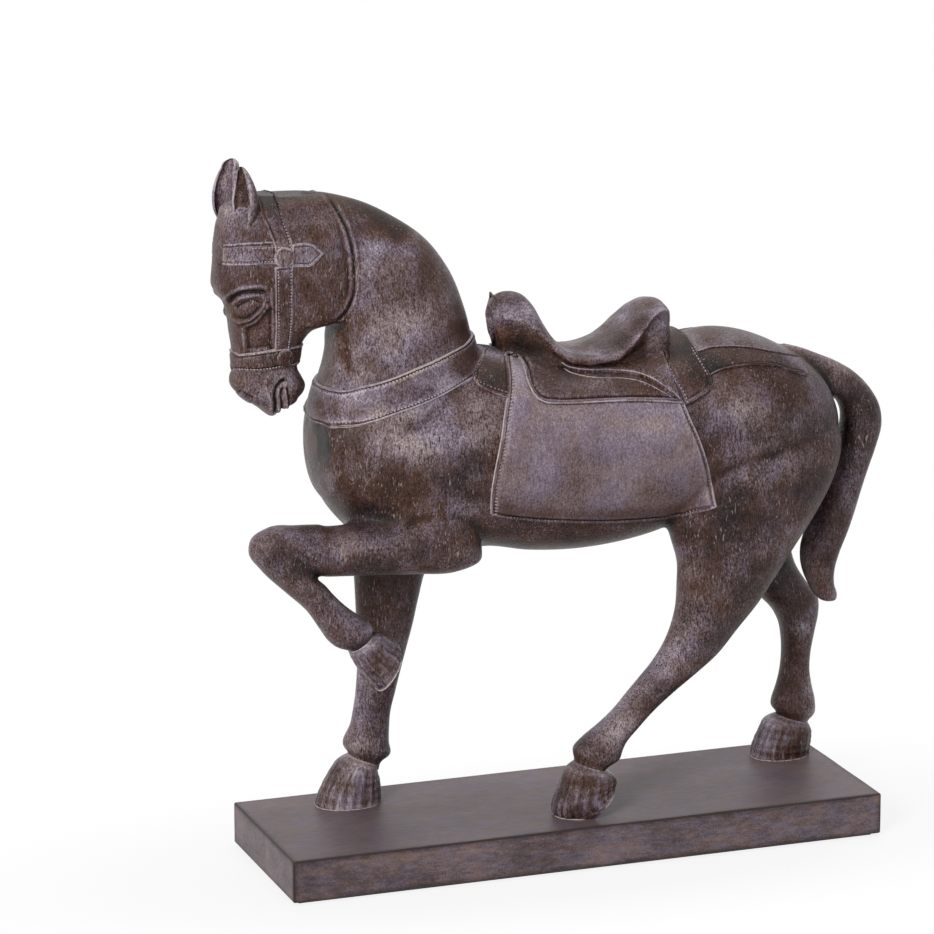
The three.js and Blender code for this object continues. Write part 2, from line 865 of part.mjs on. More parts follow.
function buildHorse(root) {
  const horse = new THREE.Group();
  horse.position.z = feltThickness + plinthHeight;
  horse.add(piece('torso', torsoCasting(), resin));
  horse.add(piece('neck', neckCasting(), resin));
  horse.add(piece('head', headCasting(), resin));
  horse.add(piece('ear_left', earCasting(-1), resin));
  horse.add(piece('ear_right', earCasting(1), resin));
  horse.add(piece('foreleg_left', legCasting(foreRaised), resin));
  horse.add(piece('foreleg_right', legCasting(forePlanted), resin));
  horse.add(piece('hindleg_left', legCasting(hindForward), resin));
  horse.add(piece('hindleg_right', legCasting(hindBack), resin));
  horse.add(piece('tail', tailCasting(), resin));
  root.add(horse);
  return horse;
}

function buildSaddlery(horse) {
  horse.add(piece('breast_collar', collar, tack));
  horse.add(piece('saddle_cloth', cloth, tack));
  horse.add(piece('saddle_skirt', saddleSkirt(), tack));
  horse.add(piece('saddle_flap', saddleFlap(), tack));
  horse.add(piece('saddle_seat', saddleSeat(), tack));
  horse.add(piece('front_pad', frontPad(), tack));
  horse.add(piece('rear_pad', rearPad(), tack));
  horse.add(piece('crupper_left', crupper(-1), tack));
  horse.add(piece('crupper_right', crupper(1), tack));
}

function buildBridle(horse) {
  horse.add(piece('browband', bridleStrap(browbandOutline), tack));
  horse.add(piece('noseband', bridleStrap(nosebandOutline), tack));
  horse.add(piece('crown_strap', crownStrap(), tack));
  for (const [name, side] of [['left', -1], ['right', 1]]) {
    horse.add(piece(`cheek_strap_${name}`, bridleStrap(cheekOutline, sideRange(side)), tack));
    horse.add(piece(`brow_rosette_${name}`, rosette(browRosette, side), tack));
    horse.add(piece(`nose_rosette_${name}`, rosette(noseRosette, side), tack));
  }
}

const root = new THREE.Group();
buildStand(root);
const horse = buildHorse(root);
buildSaddlery(horse);
buildBridle(horse);

export default root;
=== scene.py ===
"""Walking horse figurine in saddle and bridle, on a plinth.

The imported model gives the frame, and this script dresses it: the horse's skin is one
continuous carved surface over the castings, the saddlery lies on it in layers, and every
finish is procedural. Tables are in millimetres, meshes in metres; the horse faces -X and
its left side is towards -Y.
"""

from __future__ import annotations

import logging
import math
from dataclasses import dataclass, field
from enum import Enum
from typing import Callable, Sequence

import bmesh
import bpy
import numpy as np
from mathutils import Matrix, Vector


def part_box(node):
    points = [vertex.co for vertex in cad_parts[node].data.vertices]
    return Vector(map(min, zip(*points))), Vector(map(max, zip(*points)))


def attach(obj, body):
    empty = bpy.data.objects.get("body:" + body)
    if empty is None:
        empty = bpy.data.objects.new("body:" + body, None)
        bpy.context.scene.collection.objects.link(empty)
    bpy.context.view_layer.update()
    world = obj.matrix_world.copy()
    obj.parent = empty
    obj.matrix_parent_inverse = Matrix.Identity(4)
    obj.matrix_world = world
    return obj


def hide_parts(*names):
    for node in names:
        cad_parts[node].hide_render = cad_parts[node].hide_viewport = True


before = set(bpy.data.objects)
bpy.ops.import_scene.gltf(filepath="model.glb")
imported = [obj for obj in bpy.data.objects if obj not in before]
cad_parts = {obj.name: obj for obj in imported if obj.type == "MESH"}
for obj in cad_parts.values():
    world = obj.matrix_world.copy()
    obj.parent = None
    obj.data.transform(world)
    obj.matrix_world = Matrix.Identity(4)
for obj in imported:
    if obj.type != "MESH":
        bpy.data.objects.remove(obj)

Array = np.ndarray
Shell = tuple[np.ndarray, list[np.ndarray]]
Material = bpy.types.Material
Piece = bpy.types.Object
Socket = bpy.types.NodeSocket
log = logging.getLogger("figurine")

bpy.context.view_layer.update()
MM = 0.001
DECK = 24.0  # top of the plinth
STANCE = 30.0  # legs' distance from the middle plane at a stance share of 1
NEAR = np.array([1.0, 1.0, 1.0])
FAR = np.array([1.0, -1.0, 1.0])  # turns a place into its mirror image
SADDLE_WEAR = 0.2


class Part(Enum):
    """The record's material slots."""

    HORSE = "horse_resin"
    TACK = "tack_resin"
    PLINTH = "plinth_resin"
    STEEL = "steel"
    FELT = "felt"


# Number tools


def ease(value: Array) -> Array:
    """Smooth step: 3t^2 - 2t^3 of the value held between 0 and 1."""
    t = np.clip(value, 0.0, 1.0)
    return t * t * (3.0 - 2.0 * t)


def unit(rows: Array, least: float = 1e-12) -> Array:
    """Rows divided by their lengths."""
    return rows / np.maximum(np.linalg.norm(rows, axis=-1, keepdims=True), least)


def sample(at: Array, station: Array, rows: Array) -> Array:
    """Rows read straight between their stations."""
    return np.stack([np.interp(at, station, column) for column in rows.T], 1)


def curve(knots: Array, count: int) -> Array:
    """A smooth line through knots, as count points evenly spaced by its own length."""
    rows = np.asarray(knots, float)
    station = arc(rows)
    dense = np.linspace(station[0], station[-1], max(20 * len(rows), 4 * count))
    line = hermite(station, rows, dense)
    length = arc(line)
    return sample(np.linspace(0.0, length[-1], count), length, line)


def arc(rows: Array) -> Array:
    """Length along a row of points, starting at 0."""
    steps = np.linalg.norm(np.diff(rows, axis=0), axis=1)
    return np.concatenate([[0.0], np.cumsum(np.maximum(steps, 1e-9))])


def hermite(station: Array, rows: Array, at: Array) -> Array:
    """Cubic Hermite values of rows, which stand at station, read at other places.

    p = h00 p0 + h10 d m0 + h01 p1 + h11 d m1, with the tangent m at a row the mean of the
    slopes on its two sides weighted by the opposite spans.

    Args:
        station: Rising places of the rows.
        rows: One row of values for each place.
        at: Places to read.

    Returns:
        One row of values for each place in at.
    """
    span = np.diff(station)
    slope = np.diff(rows, axis=0) / span[:, None]
    tangent = np.empty_like(rows)
    tangent[0], tangent[-1] = slope[0], slope[-1]
    before, after = span[:-1, None], span[1:, None]
    tangent[1:-1] = (after * slope[:-1] + before * slope[1:]) / (before + after)
    i = np.clip(np.searchsorted(station, at, side="right") - 1, 0, len(span) - 1)
    t = ((at - station[i]) / span[i])[:, None]
    step = span[i][:, None]
    near = (2 * t**3 - 3 * t**2 + 1) * rows[i] + (t**3 - 2 * t**2 + t) * step * tangent[i]
    far = (3 * t**2 - 2 * t**3) * rows[i + 1] + (t**3 - t**2) * step * tangent[i + 1]
    return near + far


def superellipse(value: Array, roundness: float) -> Array:
    """sign(v) |v|^(2 / roundness)."""
    return np.sign(value) * np.abs(value) ** (2.0 / roundness)


def grid_faces(rows: int, columns: int, wrap: bool = False, start: int = 0) -> Array:
    """Quads between neighbouring rows and columns of a grid of points.

    Args:
        rows: Rows of points.
        columns: Points in a row.
        wrap: Joins the last column to the first.
        start: Number of the grid's first point.

    Returns:
        One row of four point numbers for each quad.
    """
    i = np.arange(rows - 1)[:, None]
    j = np.arange(columns if wrap else columns - 1)[None, :]
    right = (j + 1) % columns
    a, b = i * columns + j, i * columns + right
    quads = np.stack([a, b, b + columns, a + columns], -1)
    return quads.reshape(-1, 4) + start


def fan(ring: Array, tip: int) -> Array:
    """Triangles from a ring of point numbers to one tip."""
    return np.stack([ring, np.roll(ring, -1), np.full(len(ring), tip)], 1)


def capped(rows: int, columns: int) -> list[Array]:
    """Faces of a tube of rings that ends in two tips, the points after the grid's own."""
    ring, total = np.arange(columns), rows * columns
    tips = [fan(ring[::-1], total), fan(ring + total - columns, total + 1)]
    return [grid_faces(rows, columns, wrap=True), np.concatenate(tips)]


def ring_faces(rows: int, columns: int) -> Array:
    """Faces of a tube of rings whose last ring joins the first."""
    first = np.arange(columns)
    last = first + (rows - 1) * columns
    seam = np.stack([last, np.roll(last, -1), np.roll(first, -1), first], 1)
    return np.concatenate([grid_faces(rows, columns, wrap=True), seam])


def around(grid: Array) -> Array:
    """The outline of a grid, once round."""
    return np.concatenate([grid[0, :-1], grid[:-1, -1], grid[-1, :0:-1], grid[:0:-1, 0]])


def ribbon(first: Array, second: Array, count: int) -> Array:
    """A grid of straight rungs of count points between two lines."""
    share = np.linspace(0, 1, count)[None, :, None]
    return first[:, None] * (1 - share) + second[:, None] * share


def joined(shells: Sequence[Shell]) -> Shell:
    """Several shells as one: their points in a row and their faces renumbered."""
    points: list[Array] = []
    faces: list[Array] = []
    offset = 0
    for shell_points, shell_faces in shells:
        points.append(shell_points)
        faces.extend(f + offset for f in shell_faces)
        offset += len(shell_points)
    return np.concatenate(points), faces


def pairs_of(faces: Sequence[Array]) -> Array:
    """Every edge of the faces once, as pairs of point numbers."""
    both = [np.stack([f, np.roll(f, -1, axis=1)], -1).reshape(-1, 2) for f in faces]
    return np.unique(np.sort(np.concatenate(both), axis=1), axis=0)


def neighbour_mean(values: Array, pairs: Array) -> Array:
    """The mean of each point's neighbours: sum over its edges divided by their number."""
    total = len(values)
    flat = values.reshape(total, -1)
    degree = np.maximum(np.bincount(pairs.ravel(), minlength=total), 1)
    columns = [
        np.bincount(pairs[:, 0], flat[pairs[:, 1], k], total)
        + np.bincount(pairs[:, 1], flat[pairs[:, 0], k], total)
        for k in range(flat.shape[1])
    ]
    return (np.stack(columns, 1) / degree[:, None]).reshape(values.shape)


def relax(values: Array, pairs: Array, rounds: int, share: float = 0.5, back: float = 0.0) -> Array:
    """Smooths values over a mesh: v + share (mean - v), then v - back (mean - v).

    Args:
        values: One value or row for each point.
        pairs: The mesh's edges.
        rounds: Number of rounds.
        share: Part of the way to the mean in each round.
        back: Part of the way taken back, which keeps thin forms from shrinking.

    Returns:
        The smoothed values.
    """
    for _ in range(rounds):
        values = values + share * (neighbour_mean(values, pairs) - values)
        if back:
            values = values - back * (neighbour_mean(values, pairs) - values)
    return values


def even(points: Array, pairs: Array, rounds: int) -> Array:
    """Smooths points and gives back what each round takes from their size."""
    return relax(points, pairs, rounds, 0.5, 0.52)


def normals_of(points: Array, faces: Sequence[Array]) -> Array:
    """Unit normals: the sum of the cross products of each face's diagonals or sides."""
    total = np.zeros_like(points)
    for quads in faces:
        first = points[quads[:, 2]] - points[quads[:, 0]]
        second = points[quads[:, -1]] - points[quads[:, 1]]
        cross = np.cross(first, second)
        for k in range(3):
            weights = np.repeat(cross[:, k], quads.shape[1])
            total[:, k] += np.bincount(quads.ravel(), weights, len(points))
    return unit(total)


def fill_creases(
    points: Array, faces: Sequence[Array], pairs: Array, rounds: int, radius: float
) -> Array:
    """Rounds the hollows where forms meet, and leaves the rest alone.

    In each round a point moves out along its normal by what the mean of its neighbours
    lies outside it, less the amount that a hollow of the wanted radius shows.

    Args:
        points: Points in metres.
        faces: The mesh's faces.
        pairs: Its edges.
        rounds: Number of rounds.
        radius: Radius of the fillet in metres.

    Returns:
        The moved points.
    """
    step = np.linalg.norm(points[pairs[:, 0]] - points[pairs[:, 1]], axis=1).mean()
    allowed = step * step / (4.0 * radius)
    for _ in range(rounds):
        out = normals_of(points, faces)
        lift = np.einsum("ij,ij->i", neighbour_mean(points, pairs) - points, out)
        lift = relax(np.maximum(lift - allowed, 0.0), pairs, 1)
        points = points + out * (0.9 * lift)[:, None]
    return points


def distance_to(line: Array, at: Array) -> tuple[Array, Array]:
    """Distance from points to a line of straight pieces, and how far along it.

    Args:
        line: Points of the line, n by 2.
        at: Points, m by 2.

    Returns:
        The distance, and the share of the line's length at the nearest place.
    """
    start, step = line[:-1], np.diff(line, axis=0)
    length = np.maximum((step**2).sum(1), 1e-12)
    best = np.full(len(at), np.inf)
    share = np.zeros(len(at))
    along = arc(line)
    for k in range(len(step)):
        t = np.clip(((at - start[k]) @ step[k]) / length[k], 0.0, 1.0)
        gap = np.linalg.norm(at - start[k] - t[:, None] * step[k], axis=1)
        closer = gap < best
        best = np.where(closer, gap, best)
        here = (along[k] + t * math.sqrt(length[k])) / along[-1]
        share = np.where(closer, here, share)
    return best, share


def inside(outline: Array, at: Array) -> Array:
    """Which points lie in a closed outline: an odd number of its sides is to their right."""
    start, end = outline, np.roll(outline, -1, axis=0)
    odd = np.zeros(len(at), bool)
    for (x0, y0), (x1, y1) in zip(start, end):
        crosses = (y0 > at[:, 1]) != (y1 > at[:, 1])
        slope = (x1 - x0) / (y1 - y0 if y1 != y0 else 1e-12)
        odd ^= crosses & (at[:, 0] < x0 + slope * (at[:, 1] - y0))
    return odd


# Mesh tools


def mesh_from(name: str, points: Array, faces: Sequence[Array]) -> Piece:
    """A smooth-shaded mesh object from arrays.

    Args:
        name: Name of the piece.
        points: Points in metres.
        faces: Arrays of point numbers, one row for each face.

    Returns:
        The new object, in the scene at the origin.
    """
    corners = np.concatenate([f.ravel() for f in faces]).astype(np.int32)
    sizes = np.concatenate([np.full(len(f), f.shape[1]) for f in faces])
    starts = np.concatenate([[0], np.cumsum(sizes)[:-1]]).astype(np.int32)
    mesh = bpy.data.meshes.new(name)
    mesh.vertices.add(len(points))
    mesh.vertices.foreach_set("co", np.asarray(points, np.float32).ravel())
    mesh.loops.add(len(corners))
    mesh.loops.foreach_set("vertex_index", corners)
    mesh.polygons.add(len(sizes))
    mesh.polygons.foreach_set("loop_start", starts)
    mesh.polygons.foreach_set("use_smooth", np.ones(len(sizes), bool))
    mesh.update(calc_edges=True)
    mesh.validate()
    made = bpy.data.objects.new(name, mesh)
    bpy.context.scene.collection.objects.link(made)
    return made


def read_mesh(mesh: bpy.types.Mesh) -> Shell:
    """Points and faces of a mesh, the faces grouped by their number of corners."""
    points = np.empty(len(mesh.vertices) * 3, np.float32)
    mesh.vertices.foreach_get("co", points)
    corners = np.empty(len(mesh.loops), np.int32)
    mesh.loops.foreach_get("vertex_index", corners)
    starts = np.empty(len(mesh.polygons), np.int32)
    mesh.polygons.foreach_get("loop_start", starts)
    sizes = np.empty(len(mesh.polygons), np.int32)
    mesh.polygons.foreach_get("loop_total", sizes)
    faces = [
        corners[starts[sizes == n][:, None] + np.arange(n)[None, :]] for n in np.unique(sizes)
    ]
    return points.reshape(-1, 3).astype(float), faces


def evaluated(made: Piece) -> Shell:
    """Points and faces of an object with its modifiers applied."""
    graph = bpy.context.evaluated_depsgraph_get()
    graph.update()
    live = made.evaluated_get(graph)
    result = read_mesh(live.to_mesh())
    live.to_mesh_clear()
    return result


def discard(made: Piece) -> None:
    """Removes a helper object and its mesh."""
    mesh = made.data
    bpy.data.objects.remove(made)
    bpy.data.meshes.remove(mesh)


def fuse(shells: Sequence[Shell], voxel: float) -> Shell:
    """Several closed shells as one skin of points about voxel metres apart."""
    helper = mesh_from("fuse", *joined(shells))
    remesh = helper.modifiers.new("skin", "REMESH")
    remesh.mode = "VOXEL"
    remesh.voxel_size = voxel
    remesh.adaptivity = 0.0
    result = evaluated(helper)
    discard(helper)
    return result


def cut_and_close(made: Piece, point: Array, normal: Array) -> None:
    """Cuts away what lies on the side that the normal points to, and closes the cut."""
    work = bmesh.new()
    work.from_mesh(made.data)
    everything = list(work.verts) + list(work.edges) + list(work.faces)
    cut = bmesh.ops.bisect_plane(
        work, geom=everything, plane_co=point, plane_no=normal, clear_outer=True
    )
    rim = [item for item in cut["geom_cut"] if isinstance(item, bmesh.types.BMEdge)]
    bmesh.ops.triangle_fill(work, edges=rim, use_beauty=True)
    bmesh.ops.recalc_face_normals(work, faces=work.faces)
    work.to_mesh(made.data)
    work.free()
    made.data.polygons.foreach_set("use_smooth", np.ones(len(made.data.polygons), bool))


def mark(made: Piece, name: str, values: Array) -> None:
    """Stores a value for each point of a piece under a name that its finish reads."""
    layer = made.data.attributes.new(name, "FLOAT", "POINT")
    layer.data.foreach_set("value", np.asarray(values, np.float32))


def mark_wear(made: Piece, reach: float = 0.25) -> None:
    """Writes how far each point stands out of its surroundings.

    edge compares a point with a small patch round it and form with a wide one: the
    distance along the normal from the smoothed surface, divided by a reference height.

    Args:
        made: The piece.
        reach: Height in millimetres that counts as 1 for edge; form takes three times it.
    """
    points, faces = read_mesh(made.data)
    pairs = pairs_of(faces)
    out = normals_of(points, faces)
    small = relax(points, pairs, 5)
    wide = relax(small, pairs, 60)
    for name, smooth, scale in (("edge", small, reach), ("form", wide, 3.0 * reach)):
        height = np.einsum("ij,ij->i", points - smooth, out) / (scale * MM)
        mark(made, name, relax(np.clip(height, -1.5, 1.5), pairs, 2))


# Sections of the castings


@dataclass(frozen=True)
class Loft:
    """A body through sections.

    Each row is front or top edge x and z, back or bottom edge x and z, half width and, for
    the legs, the share of the stance. Heights are above the plinth's top, in millimetres.
    A section is the superellipse p = middle + edge c + width s, with c and s the rounded
    cosine and sine, and taper narrows it towards the front.
    """

    rows: Array
    side: int = 0
    roundness: float = 2.15
    taper: float = 0.0
    rings: int = 120
    sides: int = 64

    def shell(self) -> Shell:
        """Points in metres and faces, closed by a cone over each end."""
        rows = np.asarray(self.rows, float)
        if rows.shape[1] == 5:
            rows = np.concatenate([rows, np.zeros((len(rows), 1))], 1)
        middles = np.stack([(rows[:, 0] + rows[:, 2]) / 2, (rows[:, 1] + rows[:, 3]) / 2], 1)
        station = arc(middles)
        dense = hermite(station, rows, np.linspace(0.0, station[-1], self.rings))
        front, back = dense[:, 0:2], dense[:, 2:4]
        middle, reach = (front + back) / 2, (front - back) / 2
        turn = np.linspace(0.0, 2.0 * math.pi, self.sides, endpoint=False)
        along = superellipse(np.cos(turn), self.roundness)
        across = superellipse(np.sin(turn), self.roundness) * (1.0 - self.taper * along)
        x = middle[:, :1] + reach[:, :1] * along
        z = middle[:, 1:] + reach[:, 1:] * along + DECK
        y = self.side * STANCE * dense[:, 5:6] + np.abs(dense[:, 4:5]) * across
        points = np.stack([x, y, z], -1).reshape(-1, 3)
        tips = np.stack([middle[[0, -1], 0], y[[0, -1]].mean(1), middle[[0, -1], 1] + DECK], 1)
        return outward(np.concatenate([points, tips]) * MM, capped(self.rings, self.sides))


def outward(points: Array, faces: list[Array]) -> Shell:
    """Turns a closed shell's faces outwards, by the sign of its volume."""
    volume = 0.0
    for f in faces:
        for k in range(1, f.shape[1] - 1):
            a, b, c = points[f[:, 0]], points[f[:, k]], points[f[:, k + 1]]
            volume += np.einsum("ij,ij->", a, np.cross(b, c))
    return points, ([f[:, ::-1] for f in faces] if volume < 0 else faces)


TORSO = [
    [-136, 212, -136, 198, 8], [-134.5, 222, -134.5, 186, 20], [-129, 232, -129, 174, 28],
    [-120, 238, -120, 162, 33], [-106, 242, -106, 151, 37], [-88, 245, -88, 145, 39.5],
    [-66, 247, -66, 143.6, 41], [-45, 248, -45, 144.6, 41.5], [-22, 243, -22, 140.5, 42.5],
    [5, 238.5, 5, 139, 43], [30, 238.5, 30, 141, 43], [50, 242.5, 50, 145, 42],
    [68, 247.5, 68, 152, 41.5], [88, 249.5, 88, 159, 42], [106, 246, 106, 162, 41],
    [122, 239, 122, 165, 38], [136, 230, 136, 170, 33], [146, 219, 146, 177, 26],
    [152, 206, 152, 185, 15], [154, 198, 154, 190, 7],
]

NECK = [
    [-140, 337, -120, 284, 14], [-128, 335.5, -120, 276, 19], [-112, 331, -125, 268.5, 21],
    [-92, 321, -127, 260, 23], [-75, 308.5, -127.5, 252, 25], [-63, 292.5, -129, 245, 27],
    [-55, 273, -132, 235.5, 29.5], [-50.5, 256, -135.5, 223, 32], [-47, 244, -136, 212, 34.5],
    [-45, 231, -135, 198, 36],
]

HEAD = [
    [-166, 336.5, -134, 336, 9], [-179, 333, -127, 334.5, 14], [-184, 326, -120, 326, 18.5],
    [-186.3, 316, -113, 316, 20.5], [-187, 306, -107, 304, 21.5], [-187.5, 292, -105, 292, 22],
    [-183, 283, -108, 280, 21.7], [-180.5, 275, -117, 272, 20.3], [-179, 266, -137, 266.5, 17],
    [-178.2, 260, -142.2, 260, 14.6], [-177.8, 253, -143.6, 253, 13],
    [-177.6, 247, -144.6, 246.8, 12.4], [-178.6, 243, -142.6, 242.5, 12.8],
    [-178.6, 239, -140.6, 238, 13], [-176, 235, -141.6, 234.5, 12.4],
    [-171, 231, -144.3, 231.5, 11], [-165.5, 227.2, -145.6, 229.3, 9.3],
    [-161.6, 223.9, -149.6, 227.4, 7], [-159.2, 222.2, -154.2, 224.6, 4.2],
]

TAIL = [
    [126, 238.5, 126, 222, 5], [136, 235.5, 134, 216, 7], [147, 231, 143, 212, 8],
    [156, 227, 150.5, 208, 9], [166, 221, 156.5, 206, 8.5], [175, 212.5, 160, 200.5, 9],
    [181.5, 202, 161, 194.5, 10.5], [183, 192, 160.3, 188, 11.8], [180, 180, 159, 179.5, 12],
    [176, 169, 156.5, 170, 12], [172, 157, 152, 158.5, 12], [168.5, 145, 147, 147, 11.8],
    [164.5, 133, 142, 135, 11.4], [160, 122, 139.2, 124, 10.8], [157.3, 112.5, 140, 114, 10],
    [157.3, 104.5, 143.5, 105, 8.7], [159.3, 97.5, 148, 97.5, 7.5], [159, 94.8, 151, 94.8, 5],
]


@dataclass(frozen=True)
class Leg:
    """Rows of one leg down to the fetlock, and of its hoof."""

    name: str
    side: int
    limb: list[list[float]]
    hoof: list[list[float]]


FORE_RAISED = Leg(
    "foreleg_left",
    -1,
    [
        [-80, 188, -54, 152, 9, 0.9], [-89, 175, -55.5, 143, 13, 0.9],
        [-98, 170, -70, 138.6, 14.5, 0.9], [-108, 168.5, -90, 139.5, 14.5, 0.9],
        [-122, 168.5, -112, 141, 13.5, 0.9], [-138, 169.3, -130, 142, 12.5, 0.9],
        [-154, 170.3, -141, 143, 12, 0.9], [-168, 170.3, -145, 145, 12, 0.9],
        [-177, 165.5, -146, 146, 12, 0.9], [-178.7, 158, -146, 144, 12, 0.9],
        [-172.5, 148.5, -143, 141.5, 11, 0.9], [-160, 136, -138.5, 137.5, 9.7, 0.9],
        [-149, 125.5, -134, 132, 8.8, 0.9], [-141.5, 114.5, -127, 125, 9, 0.9],
        [-136.5, 107.3, -119.5, 119, 10, 0.9], [-131, 103.5, -114, 113.5, 10, 0.9],
        [-126.5, 102, -114.5, 110, 8, 0.9], [-123, 97, -111, 106, 7.5, 0.9],
    ],
    [
        [-126.3, 101.8, -114.3, 110.2, 8, 0.9], [-125.2, 99, -110, 109.5, 10, 0.9],
        [-121, 91.5, -103.5, 104.5, 11, 0.9], [-116.0, 85.5, -99.5, 102, 11.2, 0.9],
        [-110.8, 79.2, -98.6, 98.5, 11.0, 0.9],
    ],
)

FORE_PLANTED = Leg(
    "foreleg_right",
    1,
    [
        [-118, 186, -58, 172, 10, 0.93], [-113, 166, -54, 154, 15, 0.97],
        [-107, 148, -57, 139, 15.5, 1], [-104, 128, -65, 125, 13.5, 1],
        [-103, 112, -69, 110, 12, 1], [-102.5, 98, -72.3, 96, 11.5, 1], [-102, 84, -76, 83, 11, 1],
        [-102.3, 72, -79.3, 71, 10.3, 1], [-103.2, 60, -82.3, 59, 9.3, 1],
        [-104.7, 50.5, -84.7, 49.5, 9, 1], [-106.5, 42, -85.6, 40, 9.7, 1],
        [-110, 35, -85.7, 32, 10.7, 1], [-110.3, 31.5, -85, 25.7, 10.7, 1],
        [-107.8, 27.8, -90, 22, 8.4, 1], [-107, 22, -91.5, 17, 8, 1],
    ],
    [
        [-107.5, 27, -91.5, 20.8, 8.2, 1], [-112.3, 24.5, -92.3, 18, 10.8, 1],
        [-119, 16, -91, 12, 12.3, 1], [-124, 7, -90.5, 5.5, 13, 1],
        [-126.8, -2, -90.7, -2, 13.4, 1],
    ],
)

HIND_FORWARD = Leg(
    "hindleg_left",
    -1,
    [
        [60, 198, 140, 214, 12, 0.73], [50, 176, 150, 190, 19, 0.73],
        [50, 158, 146, 172, 20.5, 0.75], [54, 143, 136, 154, 20, 0.78],
        [57, 131, 124, 138, 18.5, 0.83], [56.5, 119, 112, 122, 16.5, 0.88],
        [55, 106, 101, 107, 14, 0.92], [51.5, 94.5, 89.5, 94, 12, 0.93],
        [46.7, 85, 78, 80.7, 10.7, 0.93], [41, 77, 66.5, 71.8, 10.3, 0.93],
        [35, 70.5, 53, 62, 9.5, 0.93], [27.5, 62.5, 41.2, 52.3, 8.8, 0.93],
        [20, 54.4, 32.5, 43.6, 8.6, 0.93], [11.5, 47.2, 26.5, 37.3, 9.2, 0.93],
        [3, 41, 24.3, 33, 10.3, 0.93], [-2.3, 35.5, 22.3, 28, 10.7, 0.93],
        [-1.5, 30, 15.5, 24, 8.7, 0.93], [-1.5, 25, 14, 20, 8, 0.93],
    ],
    [
        [-1, 29, 14, 23.6, 8.3, 0.93], [-6, 25.5, 18.5, 21, 10.8, 0.93],
        [-9.3, 18.5, 21, 17.2, 12.3, 0.93], [-12.3, 10.5, 20.8, 16, 13, 0.93],
        [-14, 3, 20.4, 15, 13.2, 0.93], [-9, -4, 20.1, 14.4, 13.2, 0.93],
        [1, -4, 19.8, 13.8, 13, 0.93],
    ],
)

HIND_BACK = Leg(
    "hindleg_right",
    1,
    [
        [70, 201, 138, 212, 12, 0.73], [72, 179, 150, 188, 18.5, 0.73],
        [82, 161, 149, 169, 19.5, 0.77], [93, 144, 145, 152, 18.5, 0.82],
        [103, 127, 141.5, 137, 16.5, 0.88], [112, 111, 143, 123, 14, 0.93],
        [121, 98.5, 147.5, 109, 12, 0.97], [129.5, 90, 155.5, 97, 11, 1],
        [136, 83, 161.8, 88.5, 10.8, 1], [140, 75.5, 162, 80.5, 10.6, 1],
        [141.8, 67, 160, 70, 9.7, 1], [142.3, 58, 158, 59, 9, 1], [141.5, 48, 157.5, 48, 8.8, 1],
        [139.3, 39, 159.3, 38, 9.3, 1], [136.8, 31, 161.2, 29, 10.7, 1],
        [137, 27.2, 160.8, 22.3, 10.7, 1], [139.8, 24, 157.5, 19, 8.7, 1],
        [139.5, 19, 156.5, 14, 8, 1],
    ],
    [
        [139.5, 23.3, 156.8, 18, 8.5, 1], [134.5, 21.6, 158.5, 15, 11, 1],
        [129.5, 14, 159, 10, 12.4, 1], [126, 6.5, 158.3, 4.5, 13, 1],
        [124.4, -2, 157.6, -2, 13.3, 1],
    ],
)

LEGS = (FORE_RAISED, FORE_PLANTED, HIND_FORWARD, HIND_BACK)


# Where lines are drawn


@dataclass(frozen=True)
class Station:
    """The place that the carved lines were drawn from, in millimetres.

    A drawn point (u, v) stands on the middle plane y = 0 and names the point of the near
    side that lies on the line from the station through it.
    """

    x: float = -823.63
    y: float = -2129.92
    z: float = 776.98
    azimuth: float = -19.917
    elevation: float = 14.051
    lens: float = 173.45

    def drawn(self, points: Array) -> Array:
        """Drawing coordinates of points, with the far side folded onto the near one.

        The line from the station S through P meets y = 0 at S + (P - S) Sy / (Sy - Py).
        """
        mm = points / MM
        y = -np.abs(mm[:, 1])
        share = self.y / (self.y - y)
        u = self.x + (mm[:, 0] - self.x) * share
        v = self.z + (mm[:, 2] - self.z) * share
        return np.stack([u, v], 1)


STATION = Station()


